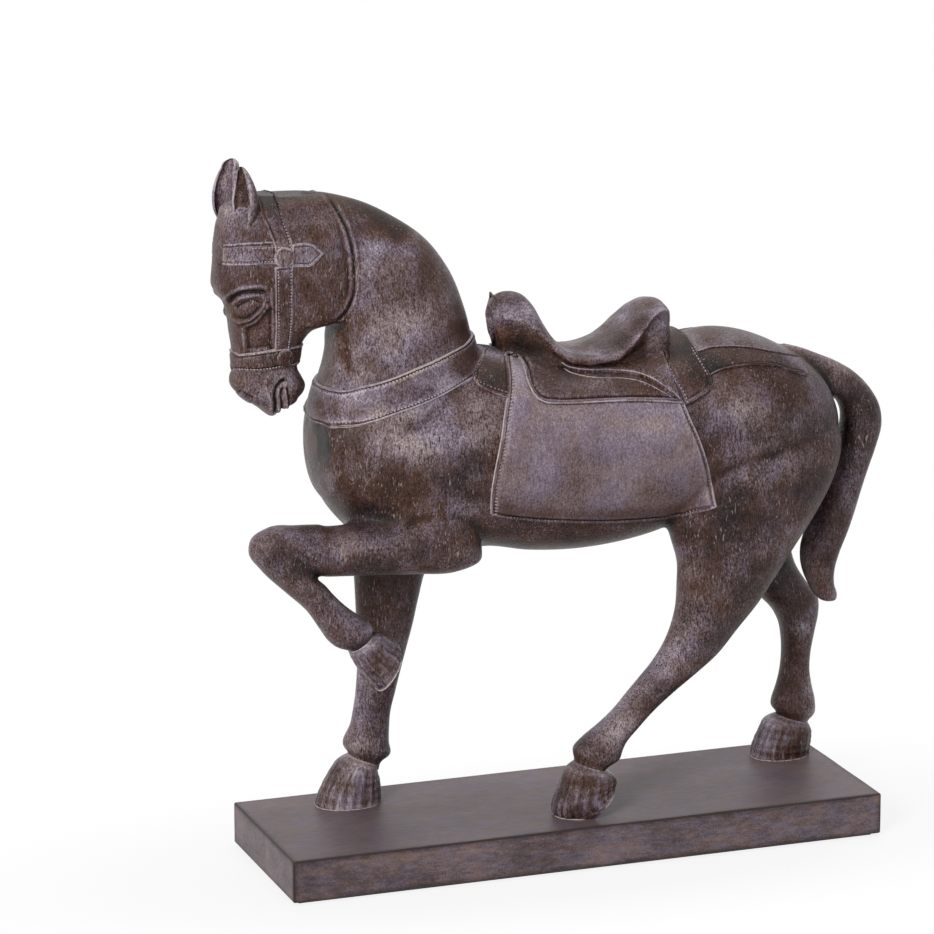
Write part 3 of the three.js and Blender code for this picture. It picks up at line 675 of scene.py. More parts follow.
@dataclass(frozen=True)
class Chart:
    """A part of the skin as a table of points over two coordinates a and b."""

    a: Array
    b: Array
    points: Array
    normals: Array

    @staticmethod
    def over(
        skin: Piece, a: Array, b: Array, start: Callable[[Array, Array], Array]
    ) -> "Chart":
        """Drops a grid onto the skin.

        Each grid point start(a, b) moves along the grid's own normal until it meets the
        skin; the normals are the cross products of the table's differences.

        Args:
            skin: The mesh to lie on.
            a: Values of the first coordinate, evenly spaced.
            b: Values of the second coordinate, evenly spaced.
            start: Gives the grid's points off the skin, in metres.

        Returns:
            The chart.
        """
        grid_a, grid_b = np.meshgrid(a, b, indexing="ij")
        origin = start(grid_a, grid_b)
        helper = mesh_from("drape", origin.reshape(-1, 3), [grid_faces(len(a), len(b))])
        fit = helper.modifiers.new("fit", "SHRINKWRAP")
        fit.target = skin
        fit.wrap_method = "PROJECT"
        fit.use_negative_direction = True
        fit.use_positive_direction = True
        points = evaluated(helper)[0].reshape(origin.shape)
        discard(helper)
        da, db = np.gradient(points, axis=0), np.gradient(points, axis=1)
        normals = np.cross(da, db)
        flip = np.sign(np.sum(normals * (origin - points), axis=-1, keepdims=True))
        normals = normals * np.where(flip == 0, 1.0, flip)
        normals = unit(normals, 1e-15)
        for _ in range(3):
            wide = np.pad(normals, ((1, 1), (1, 1), (0, 0)), mode="edge")
            level = wide[1:-1, 1:-1] * 2 + wide[:-2, 1:-1] + wide[2:, 1:-1]
            normals = unit(level + wide[1:-1, :-2] + wide[1:-1, 2:], 1e-15)
        return Chart(a, b, points, normals)

    def read(self, table: Array, at: Array) -> Array:
        """Bilinear value of a table at rows of chart coordinates."""
        s = (at[..., 0] - self.a[0]) / (self.a[1] - self.a[0])
        t = (at[..., 1] - self.b[0]) / (self.b[1] - self.b[0])
        s = np.clip(s, 0, len(self.a) - 1.001)
        t = np.clip(t, 0, len(self.b) - 1.001)
        i, j = s.astype(int), t.astype(int)
        p, q = (s - i)[..., None], (t - j)[..., None]
        low = table[i, j] * (1 - p) + table[i + 1, j] * p
        high = table[i, j + 1] * (1 - p) + table[i + 1, j + 1] * p
        return low * (1 - q) + high * q

    def at(self, place: Array) -> tuple[Array, Array]:
        """Skin points and unit normals at chart coordinates."""
        return self.read(self.points, place), unit(self.read(self.normals, place))


def coons(top: Array, bottom: Array, front: Array, rear: Array) -> Array:
    """A grid between four border lines.

    P(u, v) = (1 - v) top(u) + v bottom(u) + (1 - u) front(v) + u rear(v), less the
    bilinear blend of the four corners.

    Args:
        top: Line from the front's start to the rear's start.
        bottom: Line from the front's end to the rear's end.
        front: Line from the top's start to the bottom's start.
        rear: Line from the top's end to the bottom's end.

    Returns:
        Grid of len(top) by len(front) rows.
    """
    u = np.linspace(0, 1, len(top))[:, None, None]
    v = np.linspace(0, 1, len(front))[None, :, None]
    along = (1 - v) * top[:, None] + v * bottom[:, None]
    down = (1 - u) * front[None] + u * rear[None]
    corners = (1 - u) * ((1 - v) * top[0] + v * bottom[0]) + u * (
        (1 - v) * top[-1] + v * bottom[-1]
    )
    return along + down - corners


@dataclass(frozen=True)
class Border:
    """How a layer's border is finished, in millimetres.

    The top rises as a quarter round of the given radius, and a groove of a width is cut
    groove deep at groove_at from the border.
    """

    radius: float
    groove: float = 0.0
    groove_at: float = 1.9
    width: float = 0.55

    def height(self, distance: Array, top: float) -> Array:
        """Height over the skin at a distance from the border."""
        t = np.clip(distance / self.radius, 0.0, 1.0)
        cut = np.exp(-(((distance - self.groove_at) / self.width) ** 2))
        return top * np.sqrt(1.0 - (1.0 - t) ** 2) - self.groove * cut


@dataclass
class Layer:
    """A thin closed piece that lies on the skin.

    Its top is the skin point plus the normal times base + height(distance to the
    border), and its underside is sunk below the skin. A ring's rows run right round.
    """

    name: str
    chart: Chart
    plan: Array
    top: float
    base: float
    border: Border
    ring: bool = False
    sink: float = 0.9
    side: Array = field(default_factory=NEAR.copy)
    cells: int = 14

    def build(self) -> Piece:
        """The piece's mesh."""
        skin, out = self.chart.at(self.plan)
        height = (self.base + self.border.height(self.distance(skin), self.top)) * MM
        upper = (skin + out * height[..., None]) * self.side
        lower = (skin + out * (self.base - self.sink) * MM) * self.side
        if self.ring:
            section = np.concatenate([upper, lower[:, ::-1]], axis=1)[:-1]
            faces = [ring_faces(*section.shape[:2])]
            return mesh_from(self.name, *outward(section.reshape(-1, 3), faces))
        rows, columns = skin.shape[:2]
        points = np.concatenate([upper.reshape(-1, 3), lower.reshape(-1, 3)])
        count = rows * columns
        rim = around(np.arange(count).reshape(rows, columns))
        wall = np.stack([rim, rim + count, np.roll(rim, -1) + count, np.roll(rim, -1)], 1)
        under = grid_faces(rows, columns, start=count)[:, ::-1]
        return mesh_from(self.name, *outward(points, [grid_faces(rows, columns), under, wall]))

    def distance(self, skin: Array) -> Array:
        """Distance in millimetres of every grid point to the outline, up to cells in."""
        rows, columns = skin.shape[:2]
        i, j = np.meshgrid(np.arange(rows), np.arange(columns), indexing="ij")
        depth = np.minimum(j, columns - 1 - j)
        if self.ring:
            outlines = [skin[:, 0][::2], skin[:, -1][::2]]
        else:
            outlines = [np.concatenate([around(skin), skin[:1, 0]])[::2]]
            depth = np.minimum(depth, np.minimum(i, rows - 1 - i))
        close = depth < self.cells
        result = np.full((rows, columns), 1e3)
        gaps = [distance_to(line, skin[close])[0] for line in outlines]
        result[close] = np.minimum.reduce(gaps) / MM
        result[depth == 0] = 0.0
        return result


def stitches(
    name: str, lines: Sequence[tuple[Array, Array]], pitch: float, length: float, radius: float
) -> Piece:
    """Rows of short rounded stitches.

    A stitch is a six-sided capsule: rings at shares of its length with radii 0.35, 1, 1
    and 0.35 of the full radius, turned to follow its line.

    Args:
        name: Name of the piece.
        lines: Points and normals of each row of stitches.
        pitch: Spacing in millimetres.
        length: Length of a stitch in millimetres.
        radius: Radius of a stitch in millimetres.

    Returns:
        One object with every stitch.
    """
    turn = np.linspace(0, 2 * math.pi, 6, endpoint=False)
    shares = np.array([-0.5, -0.28, 0.28, 0.5])
    girth = np.array([0.35, 1.0, 1.0, 0.35])
    local = np.stack(
        [
            np.repeat(shares * length, 6),
            (girth[:, None] * np.cos(turn)[None] * radius).ravel(),
            (girth[:, None] * np.sin(turn)[None] * radius).ravel(),
        ],
        1,
    )
    side_faces = grid_faces(4, 6, wrap=True)
    caps = np.stack([np.arange(6)[::-1], np.arange(6) + 18])
    points: list[Array] = []
    for line, normal in lines:
        station = arc(line) / MM
        count = max(int(station[-1] / pitch), 1)
        at = (np.arange(count) + 0.5) * station[-1] / count
        middle = sample(at, station, line)
        tangent = unit(sample(at + 0.3, station, line) - sample(at - 0.3, station, line))
        up = sample(at, station, normal)
        up = unit(up - tangent * np.sum(up * tangent, axis=1, keepdims=True))
        axes = np.stack([tangent, np.cross(tangent, up), up], 1)
        placed = middle[:, None] + np.einsum("pk,nkc->npc", local, axes) * MM
        points.append(placed.reshape(-1, 3))
    every = np.concatenate(points)
    shift = np.arange(len(every) // 24)[:, None, None] * 24
    quads = (side_faces[None] + shift).reshape(-1, 4)
    ends = (caps[None] + shift).reshape(-1, 6)
    return mesh_from(name, *outward(every, [quads, ends]))


def bead(line: Array, radius: Array | float, sides: int = 10, closed: bool = False) -> Shell:
    """The points and faces of a round bead carried along a line.

    Ring point = line point + radius (cos t side + sin t up), with side and up square to
    the tangent and up kept as near the vertical as it can be.

    Args:
        line: Points in metres.
        radius: Radius in millimetres, one or one for each point.
        sides: Points in a ring.
        closed: The line ends where it starts.

    Returns:
        Points and faces.
    """
    tangent = np.gradient(line, axis=0)
    if closed:
        tangent[0] = tangent[-1] = line[1] - line[-2]
    tangent = unit(tangent)
    side = unit(np.cross(tangent, [0.0, 0.31, 0.95]))[:, None]
    up = np.cross(side, tangent[:, None])
    turn = np.linspace(0, 2 * math.pi, sides, endpoint=False)
    size = np.broadcast_to(np.asarray(radius, float), (len(line),)) * MM
    ring = np.cos(turn)[None, :, None] * side + np.sin(turn)[None, :, None] * up
    grid = line[:, None] + ring * size[:, None, None]
    if closed:
        return outward(grid[:-1].reshape(-1, 3), [ring_faces(len(line) - 1, sides)])
    points = np.concatenate([grid.reshape(-1, 3), line[:1], line[-1:]])
    return outward(points, capped(len(line), sides))


def piping(line: Array, radius: float) -> Shell:
    """A thin bead whose radius swells and thins a little, and fades at both ends."""
    share = np.linspace(0, 1, len(line))
    length = arc(line)[-1] / MM
    swell = 1 + 0.14 * np.sin(share * length / 2.1) + 0.1 * np.sin(share * length / 0.87 + 1)
    ends = ease(share * length / 2.5) * ease((1 - share) * length / 2.5)
    return bead(line, radius * swell * (0.25 + 0.75 * ends), 8)


# Finishes


def srgb(red: int, green: int, blue: int) -> tuple[float, float, float, float]:
    """A colour from its 0 to 255 values, as the linear values that shaders take."""
    parts = [c / 255.0 for c in (red, green, blue)]
    line = [c / 12.92 if c <= 0.04045 else ((c + 0.055) / 1.055) ** 2.4 for c in parts]
    return line[0], line[1], line[2], 1.0


GREY_WASH = [
    (0.0, srgb(5, 2, 2)),
    (0.25, srgb(24, 13, 11)),
    (0.5, srgb(72, 54, 55)),
    (0.75, srgb(128, 114, 123)),
    (1.0, srgb(186, 175, 179)),
]
RUSTY_WASH = [
    (0.0, srgb(18, 8, 5)),
    (0.3, srgb(58, 31, 21)),
    (0.6, srgb(110, 78, 62)),
    (0.9, srgb(150, 128, 118)),
]
SLAB_WASH = [
    (0.0, srgb(38, 26, 26)),
    (0.25, srgb(82, 68, 72)),
    (0.5, srgb(116, 104, 110)),
    (0.8, srgb(150, 139, 145)),
]


class Shader:
    """A material with a few short ways to add nodes."""

    def __init__(self, name: str) -> None:
        """Makes the material with its Principled shader."""
        self.material = bpy.data.materials.new(name)
        self.material.use_nodes = True
        self.tree = self.material.node_tree
        self.surface = self.tree.nodes["Principled BSDF"]

    def add(
        self, kind: str, inputs: dict[str | int, object] | None = None, **settings: object
    ) -> bpy.types.Node:
        """Adds a node.

        Args:
            kind: Type of the node without its ShaderNode prefix.
            inputs: Sockets to link or values to set, by input name or number.
            settings: Attributes of the node.

        Returns:
            The node.
        """
        node = self.tree.nodes.new("ShaderNode" + kind)
        for key, value in settings.items():
            setattr(node, key, value)
        for key, value in (inputs or {}).items():
            if isinstance(value, Socket):
                self.tree.links.new(value, node.inputs[key])
            else:
                node.inputs[key].default_value = value
        return node

    def coordinates(self, stretch: Sequence[float] = (1, 1, 1)) -> Socket:
        """Object coordinates, stretched."""
        place = self.add("TexCoord").outputs["Object"]
        return self.add("Mapping", {"Vector": place, "Scale": tuple(stretch)}).outputs["Vector"]

    def noise(
        self, vector: Socket, scale: float, detail: float = 2.0, rough: float = 0.5
    ) -> Socket:
        """Noise of about 0 to 1 around 0.5."""
        inputs = {"Vector": vector, "Scale": scale, "Detail": detail, "Roughness": rough}
        return self.add("TexNoise", inputs).outputs[0]

    def attribute(self, name: str) -> Socket:
        """A value stored on the mesh's points, 0 where it isn't there."""
        return self.add("Attribute", attribute_name=name).outputs["Fac"]

    def blend(self, terms: Sequence[tuple[Socket, float]], start: float) -> Socket:
        """start plus each socket times its gain."""
        total: object = start
        for socket, gain in terms:
            total = self.math("MULTIPLY_ADD", socket, gain, total)
        return total

    def math(self, operation: str, *values: object, clamp: bool = False) -> Socket:
        """The result of a sum on two or three values or sockets."""
        inputs = dict(enumerate(values))
        return self.add("Math", inputs, operation=operation, use_clamp=clamp).outputs[0]

    def up(self) -> Socket:
        """The share of the surface's normal that points up."""
        return self.add("SeparateXYZ", {0: self.add("NewGeometry").outputs["Normal"]}).outputs[2]

    def relief(self, height: object, strength: float, reach: float) -> Socket:
        """A normal bumped by a height, at most reach metres."""
        inputs = {"Height": height, "Strength": strength, "Distance": reach}
        return self.add("Bump", inputs).outputs["Normal"]

    def band(
        self, value: Socket, low: float, high: float, to: Sequence[float] = (0, 1)
    ) -> Socket:
        """Maps low..high smoothly to the two values of to, held at its ends."""
        names = ("Value", "From Min", "From Max", "To Min", "To Max")
        inputs = dict(zip(names, (value, low, high, *to)))
        return self.add("MapRange", inputs, interpolation_type="SMOOTHSTEP").outputs[0]

    def ramp(self, value: Socket, stops: Sequence[tuple[float, tuple]]) -> Socket:
        """Colour of a value between stops."""
        node = self.add("ValToRGB", {0: value})
        elements = node.color_ramp.elements
        while len(elements) < len(stops):
            elements.new(0.5)
        for element, (place, colour) in zip(elements, stops):
            element.position = place
            element.color = colour
        return node.outputs[0]

    def mix(self, amount: object, first: object, second: object, mode: str = "MIX") -> Socket:
        """Two colours mixed by an amount; 0, 6 and 7 are a colour mix's own sockets."""
        inputs = {0: amount, 6: first, 7: second}
        return self.add("Mix", inputs, data_type="RGBA", blend_type=mode).outputs[2]

    def tinted(self, colour: object, by: Socket, first: tuple, second: tuple) -> Socket:
        """A colour multiplied by a tint that wanders between two with a noise."""
        tint = self.mix(self.band(by, 0.38, 0.62), (*first, 1.0), (*second, 1.0))
        return self.mix(1.0, colour, tint, "MULTIPLY")

    def set(self, **values: object) -> None:
        """Sets or links the shader's sockets; an underscore in a name stands for a space."""
        for key, value in values.items():
            socket = self.surface.inputs[key.replace("_", " ")]
            if isinstance(value, Socket):
                self.tree.links.new(value, socket)
            else:
                socket.default_value = value


@dataclass(frozen=True)
class CarvedFinish:
    """Cast resin stained like carved wood: brown in the hollows and washed with grey.

    The amount of wash is a level, plus how far a point stands out (edge and form), plus
    patches, streaks along the grain and fine speckle, plus a little where the surface
    faces up (painted light from above together with dry-brushing), less the stain with
    the painted shade that some pieces carry, plus the painted light and shade with the
    stain's own light and dark that every piece carries; a ramp turns it into colour.
    Hollows take a rust tint in patches, and short pale and dark tool strokes run along
    the grain.
    """

    name: str
    level: float = 0.5
    form_gain: float = 0.06
    hollow_gain: float = 0.4
    edge_gain: float = 0.2
    groove_gain: float = 0.45
    patch_gain: float = 1.35
    spot_gain: float = 0.5
    streak_gain: float = 0.5
    streak_scale: float = 800.0
    speck_gain: float = 0.25
    # Lighter where the surface faces up: painted light from above together with dry-brushing
    top_light_and_brush_gain: float = 0.14
    stroke_share: float = 0.75
    grain: tuple[float, float, float] = (1.0, 1.0, 0.24)
    rust_share: float = 0.9
    rust_from: float = 0.4
    rough: float = 0.3
    bump: float = 0.75
    seed: float = 0.0

    def make(self) -> Material:
        """The material."""
        s = Shader(self.name)
        place, along = s.coordinates(), s.coordinates(self.grain)
        patch = s.noise(place, 21.0 + self.seed)
        spot = s.noise(place, 95.0 + self.seed)
        streak = s.noise(along, self.streak_scale, 3.0, 0.7)
        fine = s.band(s.noise(s.coordinates((1.0, 1.0, 0.6)), 1300.0, 2.0, 0.8), 0.38, 0.62)
        edge, form, stain_and_shade = s.attribute("edge"), s.attribute("form"), s.attribute("stain_and_shade")
        gains = [
            (edge, self.edge_gain),
            (s.band(edge, -0.9, -0.1, (-self.groove_gain, 0.0)), 1.0),
            (s.band(form, -1.2, -0.1, (-self.hollow_gain, 0.0)), 1.0),
            (form, self.form_gain),
            (patch, self.patch_gain),
            (spot, self.spot_gain),
            (streak, self.streak_gain),
            (fine, self.speck_gain),
            # Painted light from above, with dry-brushing
            (s.up(), self.top_light_and_brush_gain),
            # Stain, with the painted shade that some pieces carry
            (stain_and_shade, -0.25),
            # Painted light and shade, with the stain's own light and dark
            (s.attribute("painted_light_and_stain"), 1.0),
        ]
        noises = self.patch_gain + self.spot_gain + self.streak_gain + self.speck_gain
        wash = s.blend(gains, self.level - 0.5 * noises)
        rusty = s.noise(place, 31.0 + self.seed, 3.0, 0.6)
        rust = s.band(rusty, self.rust_from, self.rust_from + 0.18)
        rust = s.math("MULTIPLY", rust, s.band(wash, 0.66, 0.25))
        # The stain and its painted shade also turn the colour rusty
        rust = s.math("MULTIPLY", s.math("ADD", rust, stain_and_shade, clamp=True), self.rust_share)
        colour = s.mix(rust, s.ramp(wash, GREY_WASH), s.ramp(wash, RUSTY_WASH))
        hue = s.noise(place, 47.0 + self.seed)
        colour = s.tinted(colour, hue, (1.05, 1.0, 0.9), (0.97, 0.96, 1.06))
        dark = s.band(s.noise(along, 1150.0 + self.seed, 1.0), 0.39, 0.33)
        pale = s.band(s.noise(along, 1200.0 + self.seed, 1.0), 0.64, 0.7)
        some = s.band(s.noise(place, 70.0 + self.seed), 0.42, 0.6, (0.1, self.stroke_share))
        pale = s.math("MULTIPLY", pale, some)
        deep = s.math("MULTIPLY", dark, self.stroke_share)
        colour = s.mix(deep, colour, srgb(16, 9, 8))
        colour = s.mix(pale, colour, srgb(160, 144, 134))
        height = s.blend([(fine, 0.35), (streak, 0.6), (pale, 0.5), (deep, -0.5)], 0.0)
        rough = s.blend([(fine, 0.12), (streak, 0.2)], self.rough - 0.12)
        s.set(Base_Color=colour, Roughness=rough, Specular_IOR_Level=0.22)
        s.set(Normal=s.relief(height, self.bump, 0.0004))
        return s.material


@dataclass(frozen=True)
class SlabFinish:
    """The plinth's stain: even grey-brown with cloudy patches and fine lengthwise grain.

    Its sides are cloudier than its top and take some rust.
    """

    name: str = "plinth_stain"

    def make(self) -> Material:
        """The material."""
        s = Shader(self.name)
        cloud = s.noise(s.coordinates((0.6, 1.0, 1.0)), 34.0, 4.0, 0.65)
        side_cloud = s.noise(s.coordinates((0.6, 1.0, 1.3)), 60.0, 4.0, 0.65)
        grain = s.noise(s.coordinates((0.3, 1.0, 1.0)), 460.0, 3.0, 0.65)
        speck = s.noise(s.coordinates(), 1700.0, 2.0, 0.7)
        up = s.up()
        # The top a little lighter where it faces up: painted light from above
        gains = [(cloud, 0.4), (grain, 0.3), (speck, 0.4), (up, 0.06)]
        # Arrises darker: a painted dark line for their dark reflection and shade
        gains += [(s.attribute("edge"), -0.2), (s.attribute("stain_and_shade"), -0.6)]
        top = s.blend(gains, 0.33 - 0.55)
        side = s.blend([(side_cloud, 0.62), (grain, 0.25), (speck, 0.3)], -0.57)
        upright = s.band(up, 0.3, 0.8, (1, 0))
        tone = s.ramp(s.math("MULTIPLY_ADD", side, upright, top), SLAB_WASH)
        rust = s.math("MULTIPLY", s.math("MULTIPLY", s.band(side_cloud, 0.5, 0.68), upright), 0.3)
        hue = s.noise(s.coordinates((0.4, 1.0, 1.0)), 190.0, 4.0, 0.7)
        colour = s.mix(rust, tone, srgb(112, 84, 72))
        colour = s.tinted(colour, hue, (1.1, 0.99, 0.86), (0.94, 0.97, 1.09))
        height = s.blend([(grain, 0.5), (speck, 0.5), (cloud, 0.5)], 0.0)
        s.set(Base_Color=colour, Roughness=s.blend([(speck, 0.2)], 0.36), Specular_IOR_Level=0.35)
        s.set(Normal=s.relief(height, 0.25, 0.0003))
        return s.material


@dataclass(frozen=True)
class GrainFinish:
    """One noise between two colours: worn paint, drawn steel or pressed felt.

    The roughness is rough plus rough_gain times the noise, and the noise also bumps the
    surface by up to 0.3 mm times bump.
    """

    name: str
    stretch: tuple[float, float, float]
    scale: float
    texture: tuple[float, float]
    stops: tuple[tuple[float, tuple], tuple[float, tuple]]
    rough: float
    rough_gain: float = 0.0
    bump: float = 0.0
    metallic: float = 0.0
    sheen: float = 0.0

    def make(self) -> Material:
        """The material."""
        s = Shader(self.name)
        noise = s.noise(s.coordinates(self.stretch), self.scale, *self.texture)
        rough = s.blend([(noise, self.rough_gain)], self.rough) if self.rough_gain else self.rough
        s.set(Base_Color=s.ramp(noise, self.stops), Roughness=rough, Metallic=self.metallic)
        s.set(Sheen_Weight=self.sheen)
        if self.bump:
            s.set(Normal=s.relief(noise, self.bump, 0.0003))
        return s.material


def sewn(finish: CarvedFinish | SlabFinish | GrainFinish) -> Material:
    """A field that holds a finish's material, made with its owner."""
    return field(default_factory=finish.make)


@dataclass
class Wardrobe:
    """Every finish of the object, made once."""

    horse: Material = sewn(CarvedFinish("carved_horse"))
    head: Material = sewn(
        CarvedFinish(
            "carved_head", level=0.475, patch_gain=1.2, rust_share=1.0, rust_from=0.3, seed=2.0
        )
    )
    hoof: Material = sewn(
        CarvedFinish(
            "carved_hoof", level=0.47, patch_gain=0.8, streak_gain=0.6, streak_scale=520.0,
            speck_gain=0.15, stroke_share=0.5, grain=(1.0, 1.0, 0.14), rough=0.24, seed=4.0,
        )
    )
    cloth: Material = sewn(
        CarvedFinish(
            "carved_cloth", level=0.655, patch_gain=0.4, spot_gain=0.16, hollow_gain=0.1,
            streak_gain=0.3, speck_gain=0.16, stroke_share=0.12, bump=0.3, seed=3.0,
        )
    )
    bridle: Material = sewn(
        CarvedFinish(
            "carved_bridle", level=0.49, patch_gain=0.9, edge_gain=0.16, streak_gain=0.4,
            rust_from=0.32, seed=11.0,
        )
    )
    collar: Material = sewn(
        CarvedFinish(
            "carved_collar", level=0.59, patch_gain=0.7, stroke_share=0.3, hollow_gain=0.1,
            rust_from=0.34, seed=6.0,
        )
    )
    ear: Material = sewn(
        CarvedFinish(
            "carved_ear", level=0.64, hollow_gain=0.0, patch_gain=0.8, rust_share=0.4, seed=8.0
        )
    )
    leather: Material = sewn(
        CarvedFinish(
            "carved_leather", level=0.35, hollow_gain=0.1, patch_gain=1.6, streak_gain=0.7,
            rust_share=1.0, rust_from=0.34, seed=7.0,
        )
    )
    seat: Material = sewn(
        CarvedFinish(
            "carved_seat", level=0.48, patch_gain=0.9, spot_gain=0.8, form_gain=0.12,
            grain=(0.24, 1.0, 1.0), stroke_share=0.4, top_light_and_brush_gain=0.12, seed=5.0,
        )
    )
    slab: Material = sewn(SlabFinish())
    rim: Material = sewn(
        GrainFinish(
            "pale_rim", (1.0, 1.0, 1.0), 700.0, (3.0, 0.6),
            ((0.35, srgb(128, 112, 108)), (0.55, srgb(190, 181, 178))), 0.4, 0.3,
        )
    )
    thread: Material = sewn(
        CarvedFinish("stitch_wash", level=0.76, patch_gain=1.5, stroke_share=0.2)
    )
    piping: Material = sewn(
        CarvedFinish("worn_piping", level=0.68, patch_gain=1.9, stroke_share=0.3)
    )
    steel: Material = sewn(
        GrainFinish(
            "drawn_steel", (1.0, 1.0, 0.05), 2600.0, (2.0, 0.6),
            ((0.3, srgb(148, 149, 152)), (0.7, srgb(186, 187, 190))), 0.22, 0.2, metallic=1.0,
        )
    )
    felt: Material = sewn(
        GrainFinish(
            "pressed_felt", (1.0, 0.6, 1.0), 2400.0, (4.0, 0.75),
            ((0.3, srgb(26, 23, 22)), (0.7, srgb(52, 48, 46))), 0.95, bump=0.6, sheen=0.3,
        )
    )


def dress(
    made: Piece, material: Material, part: Part, *nodes: str, wear: float = 0.25
) -> Piece:
    """Finishes a new piece: wear marks, material, body and the nodes it stands for.

    Args:
        made: The piece.
        material: Its finish.
        part: The record's slot that it takes its finish from; not used.
        nodes: CAD nodes that it stands for.
        wear: Height in millimetres that counts as a full edge, or 0 for no marks.

    Returns:
        The piece.
    """
    if wear:
        mark_wear(made, wear)
    # Every piece takes the painted light and shade, with the stain's own light and dark, of the
    # marks listed after the saddlery's outlines
    drawn = STATION.drawn(read_mesh(made.data)[0])
    mark(made, "painted_light_and_stain", sum(stain_and_shade.height(drawn) for stain_and_shade in PAINTED_LIGHT_AND_STAIN))
    made.data.materials.clear()
    made.data.materials.append(material)
    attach(made, "root")
    if nodes:
        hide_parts(*nodes)
    log.info("%s: %d faces", made.name, len(made.data.polygons))
    return made


# Carved detail


@dataclass(frozen=True)
class Stroke:
    """A ridge (depth above 0) or groove along a drawn line, in millimetres.

    Height at a point is depth exp(-(distance / width)^2), fading at the line's ends.
    """

    line: list[tuple[float, float]]
    width: float
    depth: float
    fade: float = 0.1

    def height(self, drawn: Array) -> Array:
        """Height in millimetres at drawn points."""
        path = curve(np.array(self.line, float), 12 * len(self.line))
        height = np.zeros(len(drawn))
        margin = 3.0 * self.width
        low, high = path.min(0) - margin, path.max(0) + margin
        near = ((drawn > low) & (drawn < high)).all(1)
        gap, share = distance_to(path, drawn[near])
        fade = ease(share / max(self.fade, 1e-6)) * ease((1.0 - share) / max(self.fade, 1e-6))
        height[near] = self.depth * np.exp(-((gap / self.width) ** 2)) * fade
        return height


@dataclass(frozen=True)
class Mound:
    """A rounded swelling or hollow: height exp(-(x / a)^2 - (y / b)^2) on turned axes."""

    centre: tuple[float, float]
    reach: tuple[float, float]
    depth: float
    turn: float = 0.0

    def height(self, drawn: Array) -> Array:
        """Height in millimetres at drawn points."""
        offset = drawn - np.array(self.centre)
        c, s = math.cos(math.radians(self.turn)), math.sin(math.radians(self.turn))
        along = (offset[:, 0] * c + offset[:, 1] * s) / self.reach[0]
        across = (offset[:, 1] * c - offset[:, 0] * s) / self.reach[1]
        return self.depth * np.exp(-(along**2) - across**2)


@dataclass(frozen=True)
class Panel:
    """A raised or sunk area: depth times the smooth step of the distance inside its outline."""

    outline: list[tuple[float, float]]
    depth: float
    blend: float

    def height(self, drawn: Array) -> Array:
        """Height in millimetres at drawn points."""
        outline = np.array(self.outline, float)
        closed = np.concatenate([outline, outline[:1]])
        height = np.zeros(len(drawn))
        low, high = outline.min(0) - self.blend, outline.max(0) + self.blend
        near = ((drawn > low) & (drawn < high)).all(1)
        gap = distance_to(closed, drawn[near])[0]
        signed = np.where(inside(outline, drawn[near]), gap, -gap)
        height[near] = self.depth * ease(signed / self.blend + 0.5)
        return height


def carve(
    points: Array, faces: Sequence[Array], marks: Sequence[Stroke | Mound | Panel], mask: Array
) -> Array:
    """Moves points along their normals by the sum of the marks' heights.

    Args:
        points: Points in metres.
        faces: The mesh's faces.
        marks: Marks in drawing coordinates, the same on both sides.
        mask: Share of the height for each point.

    Returns:
        The moved points.
    """
    drawn = STATION.drawn(points)
    height = sum(mark.height(drawn) for mark in marks) * mask
    return points + normals_of(points, faces) * (height * MM)[:, None]


THROAT = [
    (-133.5, 361.5), (-128, 355.5), (-123, 348), (-119, 340), (-116.5, 332), (-115.2, 324),
    (-115, 316), (-115, 309), (-117, 302), (-120.5, 297), (-125, 293.5),
]


def shifted(line: list[tuple[float, float]], right: float) -> list[tuple[float, float]]:
    """The line moved sideways: each point goes right of the line's direction."""
    rows = np.array(line)
    way = np.gradient(rows, axis=0)
    way /= np.linalg.norm(way, axis=1, keepdims=True)
    moved = rows + right * np.stack([-way[:, 1], way[:, 0]], 1)
    return [tuple(row) for row in moved]


